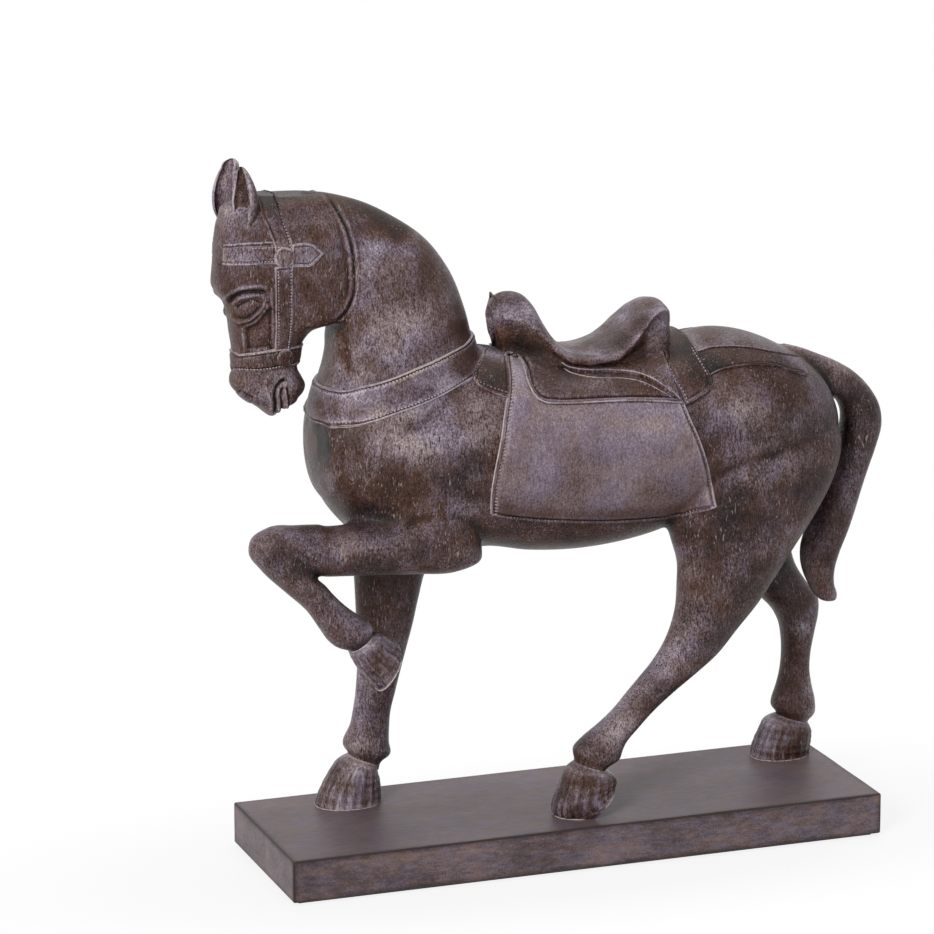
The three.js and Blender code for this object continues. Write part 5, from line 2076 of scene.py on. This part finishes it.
    def collar(self) -> None:
        """The breast collar right round the base of the neck."""
        turn = np.linspace(-180.0, 180.0, 361)
        edges = []
        for name in ("collar_upper", "collar_lower"):
            line = self.base.real(COLLAR[name])[1:]
            knots = np.concatenate([mirrored(line)[::-1], line])
            whole = np.concatenate([knots - [0, 360], knots, knots + [0, 360]])
            edges.append(np.stack([np.interp(turn, whole[:, 1], whole[:, 0]), turn], -1))
        border = Border(0.9, groove=0.75, groove_at=1.45, width=0.6)
        for edge, way in zip(edges, (-1.0, 1.0)):
            self.pipe(self.base, edge[180:] + [0.5 * way, 0.0], 1.08, 0.2)
            self.sew(self.base, edge[180:] + [1.9 * way, 0.0], 1.3)
        plan = ribbon(*edges, 44)
        layer = Layer("collar_band", self.base.chart, plan, 1.5, 0.0, border, ring=True, sink=2.5)
        dress(layer.build(), self.wardrobe.collar, Part.TACK, "breast_collar", wear=0.12)

    def crupper(self) -> None:
        """The two straps from the rear pad over the rump."""
        upper = self.back.seen([(76.0, 261.3), (84.1, 262.9), (93.6, 262.9), (101.2, 262.2)])
        over = self.back.real([(105, -23, 265), (116, -21, 262.5), (128, -15, 258)])
        upper = np.concatenate([upper, over])
        lower = self.back.seen([(82.5, 246.6), (90.0, 249.7), (95.7, 250.6), (101.4, 251.1)])
        under = self.back.real([(106, -31, 258), (117, -30, 254), (129, -26, 249)])
        lower = np.concatenate([lower, under])
        self.pipe(self.back, curve(upper, 110) + [0.0, 0.6], 1.3, 0.34)
        self.pipe(self.back, curve(lower, 110) - [0.0, 0.6], 1.15, 0.34)
        ends = [np.linspace(upper[k], lower[k], 40) for k in (0, -1)]
        plan = coons(curve(upper, 110), curve(lower, 110), *ends)
        border = Border(0.8, groove=0.4, groove_at=1.5, width=0.45)
        leather = self.wardrobe.leather
        for word, outline in (("left", plan), ("right", mirrored(plan))):
            layer = Layer("crupper_strap_" + word, self.back.chart, outline, 1.2, 0.0, border)
            dress(layer.build(), leather, Part.TACK, "crupper_" + word, wear=SADDLE_WEAR)

    def build(self) -> None:
        """Every layer, from the skin outwards, and the stitches."""
        self.cloth()
        self.collar()
        self.front_pad()
        self.skirt()
        self.flap()
        self.rear_pad()
        self.crupper()
        self.thread("thread_saddlery", self.threads, 1.9, 1.25, 0.42)
        self.thread("thread_ladder", self.bars, 5.0, 1.9, 0.46)
        self.lines("piping_saddlery")


@dataclass
class Flank(Wrap):
    """A chart of the near side seen square on: its coordinates are x and z.

    The far side's pieces are built on it too and mirrored.
    """

    def start(self, a: Array, b: Array) -> Array:
        """Points of the upright plane at y = -reach."""
        return np.stack([a, np.full_like(a, -self.reach), b], -1) * MM

    def place(self, points: Array) -> Array:
        """x and z of points."""
        return points[..., [0, 2]] / MM


@dataclass
class Bridle(Tack):
    """Browband, crown and cheek straps, noseband, rosettes and the pointed tabs."""

    def __post_init__(self) -> None:
        """Makes the charts of the forehead, the nose, the poll and the cheek."""
        self.brow = Wrap(
            self.skin, (-158, 0, 0), (0, 0, 1), (-1, 0, 0), (318, 345), (-130, 130), 36, (0.6, 1.2)
        )
        self.nose = Wrap(
            self.skin, (-161, 0, 0), (0, 0, 1), (-1, 0, 0), (262, 290), (-190, 190), 24, (0.5, 1.5)
        )
        self.poll = Wrap(
            self.skin, (0, 0, 322), (1, 0, 0), (0, 0, 1), (-172, -130), (-120, 120), 45, (0.6, 1.2)
        )
        self.cheek = Flank(
            self.skin, (0, 0, 0), (1, 0, 0), (0, 0, 1), (-192, -108), (246, 346), 45, (0.5, 0.5)
        )

    def finish(self, made: Piece, *nodes: str) -> None:
        """Dresses a strap."""
        dress(made, self.wardrobe.bridle, Part.TACK, *nodes, wear=0.16)

    def across(self, wrap: Wrap, near: Sequence[tuple[float, float]]) -> Array:
        """A line over the head's middle, from the near side to the far."""
        line = wrap.seen(near, 0.8)
        whole = np.concatenate([line[::-1], mirrored(line)])
        return curve(whole * [1.0, 0.4], 220) / [1.0, 0.4]

    def browband(self) -> None:
        """The broad band over the forehead, which tucks in under the forelock."""
        top = self.across(self.brow, [(-183, 336.6), (-172, 336.4), (-160, 336.2), (-150, 336)])
        low = self.across(self.brow, [(-183.5, 326), (-172, 324.8), (-160, 324.4), (-150, 324)])
        border = Border(0.7, groove=0.45, groove_at=1.5, width=0.42)
        made = Layer("brow_strap", self.brow.chart, ribbon(top, low, 34), 0.7, 0.0, border).build()
        points = read_mesh(made.data)[0]
        points[:, 0] += 1.5 * MM * ease((10.0 - np.abs(points[:, 1]) / MM) / 3.0)
        made.data.vertices.foreach_set("co", points.astype(np.float32).ravel())
        self.finish(made, "browband")
        half = slice(137, 218)
        self.sew(self.brow, mirrored(low[half] + [1.5, 0.0]), 0.8)
        self.sew(self.brow, mirrored(top[half] - [3.0, 0.0]), 0.9)

    def noseband(self) -> None:
        """The band right round the nose; its upper line dips at the front and the cheek."""
        upper = [(-179, 281.8), (-175, 279.2), (-171, 279), (-160, 279.8), (-152, 280.2)]
        lower = [(-179, 270.6), (-174, 270.2), (-165, 269), (-158, 269.2), (-150, 270)]
        turn = np.linspace(-180, 180, 300)
        edges = []
        for drawn in (upper + [(-145, 280.4)], lower + [(-145, 270.6)]):
            line = self.nose.seen(drawn, 1.2)
            height = np.interp(np.abs(turn), np.abs(line[:, 1]), line[:, 0])
            edges.append(np.stack([height, turn], -1))
        border = Border(0.8, groove=0.5, groove_at=1.8, width=0.45)
        self.pipe(self.nose, edges[0][159:292] - [0.7, 0.0], 0.7, 0.26)
        plan = ribbon(*edges, 34)
        layer = Layer("nose_strap", self.nose.chart, plan, 0.95, 0.0, border, ring=True, sink=1.6)
        self.finish(layer.build(), "noseband")
        self.sew(self.nose, edges[1][155:] + [1.5, 0.0], 0.85)

    def crown(self) -> None:
        """The strap over the poll behind the ears."""
        front = [(-164.5, 358.5), (-163, 354), (-158, 341), (-155.3, 334), (-155, 326)]
        rear = [(-154.5, 361.2), (-153.5, 359), (-150, 348), (-146.3, 338), (-145, 326)]
        first, last = self.across(self.poll, front), self.across(self.poll, rear)
        border = Border(0.7, groove=0.5, groove_at=1.5, width=0.42)
        self.pipe(self.poll, first[:110] + [0.4, 0.0], 0.8, 0.22)
        layer = Layer("poll_strap", self.poll.chart, ribbon(first, last, 34), 0.75, 0.0, border)
        self.finish(layer.build(), "crown_strap")
        self.sew(self.poll, last[:108] - [1.5, 0.0], 0.75)

    def on_cheek(self, name: str, lines: Sequence[Array], border: Border, *nodes: str) -> None:
        """A flat piece on each cheek, the far one the near one's mirror image.

        Args:
            name: Name of the piece without its side.
            lines: Its top, bottom, front and rear lines in chart coordinates.
            border: How the border is finished.
            nodes: CAD nodes it stands for, without their side.
        """
        plan = coons(*lines)
        for side, word in ((NEAR, "left"), (FAR, "right")):
            layer = Layer(f"{name}_{word}", self.cheek.chart, plan, 1.0, 0.0, border, side=side)
            self.finish(layer.build(), *[f"{node}_{word}" for node in nodes])

    def cheek_straps(self) -> None:
        """The straps from the upper rosettes down to the noseband."""
        front = self.cheek.seen([(-155.2, 323), (-155, 310), (-155, 298), (-155.6, 279)], 0.8)
        rear = self.cheek.seen([(-145.2, 323), (-145.2, 310), (-145.3, 297), (-147.2, 279)], 0.8)
        border = Border(0.7, groove=0.55, groove_at=1.5, width=0.42)
        self.pipe(self.cheek, curve(front, 110) + [0.4, 0.0], 0.85, 0.22)
        ends = [np.linspace(front[k], rear[k], 30) for k in (0, -1)]
        lines = (*ends, curve(front, 130), curve(rear, 130))
        self.on_cheek("cheek_band", lines, border, "cheek_strap")
        self.sew(self.cheek, curve(front, 60) + [1.6, 0.0], 0.95)
        self.sew(self.cheek, curve(rear, 60) - [1.4, 0.0], 0.95)

    def tabs(self) -> None:
        """The pointed tab behind each upper rosette, with its sunk line."""
        top = self.cheek.seen([(-146, 333.8), (-141, 334), (-136, 333.6), (-133.6, 332.4)], 1.0)
        low = self.cheek.seen([(-146, 322.2), (-141, 322.2), (-136.5, 322), (-134.2, 323)], 1.0)
        tip = self.cheek.seen([(-129.2, 328)], 1.0)[0]
        point = [np.linspace(top[-1], tip, 20)[:-1], np.linspace(tip, low[-1], 21)]
        rear = np.concatenate(point)
        lines = (curve(top, 34), curve(low, 34), np.linspace(top[0], low[0], 40), rear)
        edge = np.concatenate([curve(top, 30), rear[1:], curve(low, 30)[::-1][1:]])
        self.pipe(self.cheek, edge, 0.7, 0.27)
        self.on_cheek("rosette_tab", lines, Border(0.7, groove=0.45, groove_at=1.5, width=0.4))

    def rosette(self, name: str, drawn: tuple[float, float], size: float) -> None:
        """A low domed stud with a worn rim on each cheek, centred on a drawn point.

        Height over the strap = step + dome (1 - r^2) + rim exp(-((r - 0.86) / 0.07)^2)
        for a radius share r, and the wall drops to the skin at r = 1.
        """
        sides = 64
        share = np.concatenate([np.linspace(0.02, 0.94, 22), [0.975, 1.0, 1.0]])
        turn = np.linspace(0, 2 * math.pi, sides, endpoint=False)
        ring = np.stack([np.cos(turn), np.sin(turn)], -1)
        centre = self.cheek.seen([drawn], 2.0)[0]
        skin, out = self.cheek.chart.at(centre + size * share[:, None, None] * ring[None])
        out = np.broadcast_to(unit(out.mean((0, 1))), out.shape)
        level = ((skin - skin[:3].mean((0, 1))) * out).sum(-1, keepdims=True)
        rim = np.exp(-(((share - 0.86) / 0.07) ** 2))
        height = 1.1 + 0.55 + 0.75 * (1 - share**2) + 0.3 * rim
        height[-3:] = [1.45, 1.1, -1.5]
        grid = skin - out * level * 0.85 + out * (height * MM)[:, None, None]
        points = np.concatenate([grid.reshape(-1, 3), grid[:1].mean(1), grid[-1:].mean(1)])
        for side, word in ((NEAR, "left"), (FAR, "right")):
            made = mesh_from(
                f"{name}_stud_{word}", *outward(points * side, capped(len(share), sides))
            )
            self.finish(made, f"{name}_rosette_{word}")

    def build(self) -> None:
        """All the straps, studs and stitches."""
        self.browband()
        self.crown()
        self.cheek_straps()
        self.tabs()
        self.noseband()
        self.rosette("brow", (-149.6, 327.2), 5.3)
        self.rosette("nose", (-149.6, 275.0), 4.6)
        self.thread("thread_bridle", self.threads, 1.6, 1.05, 0.33)
        self.lines("piping_bridle")


# One cross section of the seat in each row, by five places of its near half: top centre
# x and z, edge x, half width and z, waist x, half width and z, foot x, half width and z,
# and the share of the plate's lip
SEAT = [
    [-40.4, 295.4, -39.8, 6.0, 289.0, -38.6, 5.5, 281.0, -36.5, 4.5, 273.5, 0.0],
    [-38.6, 298.0, -38.2, 9.6, 289.6, -37.2, 8.2, 281.0, -35.5, 8.0, 272.0, 0.0],
    [-33.5, 301.3, -33.5, 12.4, 289.5, -33.4, 10.2, 280.0, -32.5, 9.0, 272.0, 0.0],
    [-27.5, 301.4, -27.5, 14.2, 288.0, -28.0, 12.2, 278.5, -28.5, 10.8, 270.8, 0.0],
    [-22.0, 299.4, -22.0, 15.3, 285.3, -23.0, 13.6, 276.5, -23.5, 12.8, 269.0, 0.1],
    [-17.0, 294.4, -17.2, 16.2, 281.4, -18.5, 14.8, 274.5, -18.5, 15.5, 266.6, 0.3],
    [-12.5, 286.2, -13.0, 17.2, 277.4, -14.0, 15.8, 272.0, -13.5, 18.6, 263.6, 0.6],
    [-8.0, 279.0, -9.0, 18.6, 273.4, -9.5, 17.0, 269.5, -9.0, 20.0, 261.6, 0.9],
    [-3.0, 273.4, -4.0, 20.0, 269.8, -4.0, 18.2, 266.0, -4.0, 20.0, 260.0, 1.0],
    [3.0, 271.0, 1.3, 21.2, 267.7, 1.5, 18.8, 263.9, 2.0, 19.6, 259.0, 1.0],
    [10.0, 270.8, 9.0, 21.8, 267.0, 9.0, 19.0, 263.2, 9.0, 19.2, 258.5, 1.0],
    [18.0, 272.6, 17.0, 22.2, 267.8, 17.0, 19.4, 263.8, 17.0, 19.6, 258.5, 1.0],
    [26.0, 276.2, 24.0, 23.0, 269.3, 24.5, 19.8, 264.5, 25.0, 20.0, 258.5, 1.0],
    [34.0, 282.0, 31.3, 22.6, 274.3, 32.0, 19.8, 268.0, 33.0, 21.0, 258.5, 1.0],
    [41.0, 287.6, 38.2, 21.2, 280.8, 39.5, 19.2, 273.0, 41.0, 22.0, 258.0, 0.9],
    [47.5, 291.3, 44.8, 18.4, 286.6, 46.5, 18.0, 277.0, 48.0, 21.5, 257.0, 0.7],
    [52.0, 292.2, 50.3, 16.0, 289.0, 51.5, 16.4, 278.0, 52.5, 19.0, 256.0, 0.5],
    [55.4, 290.8, 54.6, 13.8, 287.8, 55.2, 14.2, 276.0, 55.0, 15.5, 256.0, 0.2],
    [57.0, 286.5, 56.6, 11.0, 283.5, 56.2, 11.0, 272.0, 55.2, 11.5, 256.0, 0.0],
]

@dataclass
class Seat:
    """The saddle seat: a horn in front, a hollow plate and a raised cantle."""

    wardrobe: Wardrobe
    rings: int = 210
    sides: int = 150
    bowl_rings: int = 12

    def half_ring(self) -> Array:
        """Places of the near half of every row, from the top centre to the foot.

        The top falls from centre to edge with the square of the width; under the edge the
        lip hangs 3 mm straight down before it turns in to the waist.
        """
        r = np.array(SEAT)
        lip = r[:, 11:12]
        top = np.stack([r[:, 0], np.zeros(len(r)), r[:, 1]], 1)
        edge = r[:, [2, 3, 4]]
        waist = r[:, [5, 6, 7]]
        foot = r[:, [8, 9, 10]]
        inner = top * 0.5 + edge * 0.5
        inner[:, 2] += 0.27 * (top[:, 2] - edge[:, 2])
        near_edge = top * 0.12 + edge * 0.88
        near_edge[:, 2] += 0.12 * (top[:, 2] - edge[:, 2]) + 0.15
        under = edge * (1 - 0.4 * (1 - lip)) + waist * 0.4 * (1 - lip)
        under = under + lip * np.array([[0.0, -0.5, -3.0]])
        recess = lip * (waist + [0.0, 0.3, 0.8]) + (1 - lip) * (waist * 0.6 + edge * 0.4)
        low = 0.45 * waist + 0.55 * foot + np.array([[0.0, -0.6, 0.0]])
        out = foot + np.array([[0.0, 2.0, -4.0]])
        return np.stack([top, inner, near_edge, edge, under, recess, waist, low, foot, out], 1)

    def build(self) -> None:
        """The seat and the raised line round the horn's face."""
        knots = self.half_ring() * FAR
        whole = np.concatenate([knots[:, :0:-1] * FAR, knots], 1)
        count, places = whole.shape[:2]
        station = arc(np.array(SEAT)[:, :2])
        along = hermite(station, whole.reshape(count, -1), np.linspace(0, station[-1], self.rings))
        along = along.reshape(self.rings, places, 3).swapaxes(0, 1)
        gap = np.linalg.norm(np.diff(along, axis=0), axis=-1).mean(1)
        stops = np.concatenate([[0.0], np.cumsum(gap)])
        at = np.linspace(0, stops[-1], self.sides)
        grid = hermite(stops, along.reshape(places, -1), at).reshape(self.sides, self.rings, 3)
        grid = grid.swapaxes(0, 1)
        rough = np.sin(grid[..., 0] / 2.3 + grid[..., 2] / 3.1) * np.sin(grid[..., 1] / 2.9)
        out = unit(np.cross(np.gradient(grid, axis=0), np.gradient(grid, axis=1)), 1e-9)
        grid = grid + out * (0.12 * rough)[..., None]
        dish = self.dish(grid[0])
        points = np.concatenate([dish, grid.reshape(-1, 3), grid[-1:].mean(1)])
        first, ring = len(dish), np.arange(self.sides)
        quads = [
            grid_faces(self.bowl_rings, self.sides, wrap=True, start=1),
            grid_faces(2, self.sides, wrap=True, start=first - self.sides),
            grid_faces(self.rings, self.sides, wrap=True, start=first),
        ]
        last = fan(ring + first + (self.rings - 1) * self.sides, len(points) - 1)
        tips = np.concatenate([fan(ring + 1, 0)[:, ::-1], last])
        made = mesh_from("seat_form", *outward(points * MM, [np.concatenate(quads), tips]))
        place = np.abs(np.interp(at, stops, np.arange(places)) - (places - 1) / 2)
        # Rust with painted shade under the plate's lip, and paler at the cantle
        mark(made, "stain_and_shade", self.stain_and_shade(points, first, np.tile(place, self.rings)))
        dress(made, self.wardrobe.seat, Part.TACK, "saddle_seat", wear=0.35)
        self.rim(grid)

    def stain_and_shade(self, points: Array, first: int, place: Array) -> Array:
        """Dark below the edge, from higher up towards the horn, and pale at the cantle.

        Args:
            points: The seat's points in millimetres.
            first: Number of the first point of the rings.
            place: For each point of the rings, how many knots it lies from the top centre.

        Returns:
            One amount of stain for each point.
        """
        x = points[first:-1, 0]
        front = ease((-12.0 - x) / 8.0)
        # Under the plate's lip: rust together with painted shade
        under = ease((place - 3.3 + 0.9 * front) / (1.6 + 2.2 * front))
        stain_and_shade = np.zeros(len(points))
        stain_and_shade[first:-1] = under * (1 - 1.7 * ease((x - 37.5) / 4.0))
        return stain_and_shade

    def dish(self, rim: Array) -> Array:
        """The horn's hollow face: rings from its centre to the rim, sunk (1 - r^2)."""
        centre = rim.mean(0)
        share = np.linspace(0.0, 1.0, self.bowl_rings + 2)[1:-1]
        rows = centre + (rim - centre) * share[:, None, None]
        rows[..., 0] += 2.6 * (1 - share[:, None] ** 2)
        return np.concatenate([[centre + [2.6, 0, 0]], rows.reshape(-1, 3)])

    def rim(self, grid: Array) -> None:
        """The thin bead round the horn's face, which rises to a small point on top."""
        line = curve(grid[9][int(self.sides * 0.2) : int(self.sides * 0.8)], 120)
        peak = np.exp(-(((line[:, 1] - 4.0) / 1.1) ** 2)) * (line[:, 2] > 292)
        line[:, 2] += 2.4 * peak
        line[:, 0] -= 0.8 * peak
        radius = 0.75 - 0.35 * peak
        fade = ease(np.linspace(0.2, 1, 12))
        radius[:12] *= fade
        radius[-12:] *= fade[::-1]
        made = mesh_from("horn_bead", *bead(line * MM, radius))
        dress(made, self.wardrobe.seat, Part.TACK, wear=0)


@dataclass
class Stand:
    """The plinth with its felt and the steel fixings under the hooves."""

    wardrobe: Wardrobe

    def build(self) -> None:
        """Rounds the plinth's arrises and finishes the hidden parts."""
        low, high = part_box("plinth")
        made = self.block("plinth_block", np.array(low), np.array(high), 1.1)
        dress(made, self.wardrobe.slab, Part.PLINTH, "plinth", wear=0.3)
        self.paint("felt", self.wardrobe.felt)
        for place in ("fore_right", "hind_left", "hind_right"):
            for kind in ("rod_", "washer_", "nut_"):
                self.paint(kind + place, self.wardrobe.steel)

    def paint(self, node: str, material: Material) -> None:
        """Gives a carried-over node its finish."""
        for slot in bpy.data.objects[node].material_slots:
            slot.material = material

    def block(self, name: str, low: Array, high: Array, radius: float) -> Piece:
        """A block with rounded arrises and a surface that is very slightly uneven.

        A point of the box's grid goes to core + radius (p - core) / |p - core|, where the
        core is the point held within the box drawn in by the radius; the surface then
        sinks by 0 to 0.1 mm in slow waves. The arrises carry a thin painted dark line, which
        stands for the dark reflection and shade on their rounding.

        Args:
            name: Name of the piece.
            low: Lowest corner in metres.
            high: Highest corner in metres.
            radius: Radius of the arrises in millimetres.

        Returns:
            The block.
        """
        size = (high - low) / MM
        rows: list[Array] = []
        faces: list[Array] = []
        start = 0
        for axis in range(3):
            other = [k for k in range(3) if k != axis]
            lines = []
            for k in other:
                inner = np.linspace(radius, size[k] - radius, max(int(size[k] / 2.2), 6))
                round_in = radius * (1 - np.cos(np.linspace(0, 0.5 * math.pi, 6)[:-1]))
                lines.append(np.concatenate([round_in, inner, size[k] - round_in[::-1]]))
            u, v = np.meshgrid(*lines, indexing="ij")
            for end in (0, 1):
                grid = np.empty(u.shape + (3,))
                grid[..., other[0]], grid[..., other[1]] = u, v
                grid[..., axis] = end * size[axis]
                quads = grid_faces(*u.shape, start=start)
                faces.append(quads if end == 0 else quads[:, ::-1])
                rows.append(grid.reshape(-1, 3))
                start += u.size
        points = np.concatenate(rows)
        core = np.clip(points, radius, size - radius)
        way = points - core
        points = core + radius * unit(way, 1e-9)
        wave = np.sin(points[:, :1] / 9.0) * np.sin(points[:, 1:2] / 7.0 + points[:, 2:] / 5.0)
        points -= 0.05 * (1 + wave) * way / radius
        made = mesh_from(name, points * MM + low, [np.concatenate(faces)])
        work = bmesh.new()
        work.from_mesh(made.data)
        bmesh.ops.remove_doubles(work, verts=work.verts, dist=0.00002)
        bmesh.ops.recalc_face_normals(work, faces=work.faces)
        work.to_mesh(made.data)
        work.free()
        depth = (read_mesh(made.data)[0] - low) / MM
        depth = np.sort(np.minimum(depth, size - depth), axis=1)
        # A thin painted dark line along the arrises, for their dark reflection and shade
        stain_and_shade = ease((1.15 * radius - depth[:, 1]) / 0.5)
        mark(made, "stain_and_shade", stain_and_shade)
        return made


WHITE = (1.0, 1.0, 1.0, 1.0)


def seen_rays(tree: bpy.types.NodeTree) -> Socket:
    """1 for rays from the camera and for those that mirror or pass through, else 0."""
    path = tree.nodes.new("ShaderNodeLightPath")
    total = path.outputs["Is Camera Ray"]
    for kind in ("Is Glossy Ray", "Is Transmission Ray"):
        either = tree.nodes.new("ShaderNodeMath")
        either.operation = "MAXIMUM"
        tree.links.new(total, either.inputs[0])
        tree.links.new(path.outputs[kind], either.inputs[1])
        total = either.outputs[0]
    return total


@dataclass(frozen=True)
class Studio:
    """White floor and backdrop, soft light and the camera."""

    key: float = 54.0
    top: float = 22.0
    fill: float = 0.12

    def world(self) -> None:
        """Soft surroundings that the camera, mirrors and glass see as plain white."""
        world = bpy.data.worlds.new("surroundings")
        world.use_nodes = True
        bpy.context.scene.world = world
        tree = world.node_tree
        tree.nodes.clear()
        mix = tree.nodes.new("ShaderNodeMixShader")
        out = tree.nodes.new("ShaderNodeOutputWorld")
        tree.links.new(seen_rays(tree), mix.inputs[0])
        tree.links.new(mix.outputs[0], out.inputs["Surface"])
        for socket, strength in ((1, self.fill), (2, 1.0)):
            white = tree.nodes.new("ShaderNodeBackground")
            white.inputs["Color"].default_value = WHITE
            white.inputs["Strength"].default_value = strength
            tree.links.new(white.outputs[0], mix.inputs[socket])

    def floor(self) -> None:
        """A white table top with soft shadows, which fades into the white round it.

        For the camera, mirrors and glass a share of it is plain glow of strength 1: 0.84
        near the object, so that a faint shadow shows, rising smoothly to 1 further out.
        """
        half = 3.0
        points = np.array([[-half, -half, 0], [half, -half, 0], [half, half, 0], [-half, half, 0]])
        made = mesh_from("table_top", points, [np.array([[0, 1, 2, 3]])])
        s = Shader("table_white")
        place = s.coordinates((1 / 0.19, 1 / 0.075, 1.0))
        reach = s.add("VectorMath", {0: place}, operation="LENGTH").outputs["Value"]
        far = s.band(reach, 1.0, 2.1)
        s.set(Base_Color=(0.9, 0.9, 0.9, 1.0), Roughness=0.6, Specular_IOR_Level=0.2)
        glow = s.add("Emission", {"Color": WHITE, "Strength": 1.0})
        share = s.math("MULTIPLY", seen_rays(s.tree), s.blend([(far, 0.16)], 0.84))
        mix = s.add("MixShader", {0: share, 1: s.surface.outputs[0], 2: glow.outputs[0]})
        s.tree.links.new(mix.outputs[0], s.tree.nodes["Material Output"].inputs["Surface"])
        made.data.materials.append(s.material)

    def lamp(
        self, name: str, place: Sequence[float], aim: Sequence[float], size: float, power: float
    ) -> None:
        """A square soft box that shines from place towards aim."""
        data = bpy.data.lights.new(name, "AREA")
        data.size = size
        data.energy = power
        made = bpy.data.objects.new(name, data)
        bpy.context.scene.collection.objects.link(made)
        made.location = place
        way = Vector(aim) - Vector(place)
        made.rotation_euler = way.to_track_quat("-Z", "Y").to_euler()

    def camera(self) -> None:
        """The camera at the station, level and without shift."""
        data = bpy.data.cameras.new("view")
        data.lens = STATION.lens
        data.sensor_width = 36.0
        data.clip_end = 20.0
        made = bpy.data.objects.new("view", data)
        bpy.context.scene.collection.objects.link(made)
        made.location = Vector((STATION.x, STATION.y, STATION.z)) * MM
        azimuth, elevation = math.radians(STATION.azimuth), math.radians(STATION.elevation)
        level = math.cos(elevation)
        way = (-math.sin(azimuth) * level, math.cos(azimuth) * level, -math.sin(elevation))
        ahead = Vector(way)
        made.rotation_euler = ahead.to_track_quat("-Z", "Y").to_euler()
        bpy.context.scene.camera = made

    def build(self) -> None:
        """Everything round the object."""
        self.world()
        self.floor()
        self.lamp("key_light", (-1.75, -1.75, 1.35), (0.0, 0.0, 0.18), 0.8, self.key)
        self.lamp("top_light", (0.3, 0.3, 2.2), (0.0, 0.0, 0.2), 1.6, self.top)
        self.camera()
        bpy.context.scene.view_settings.view_transform = "Standard"


def main() -> None:
    """Builds the figurine and its surroundings."""
    logging.basicConfig(level=logging.INFO, format="%(name)s: %(message)s")
    wardrobe = Wardrobe()
    skin = HorseSkin(wardrobe)
    skin.head()
    skin.body()
    for leg in LEGS:
        skin.hoof(leg)
        skin.hoof_rim(leg)
    Saddlery(wardrobe, skin.whole).build()
    Bridle(wardrobe, skin.whole_head).build()
    Seat(wardrobe).build()
    discard(skin.whole)
    discard(skin.whole_head)
    Ear("ear_left", -1, LEFT_EAR, 30.0, 0.9).build(wardrobe)
    Ear("ear_right", 1, RIGHT_EAR, -33.0, 0.15).build(wardrobe)
    Stand(wardrobe).build()
    Studio().build()


if __name__ == "__main__":
    main()
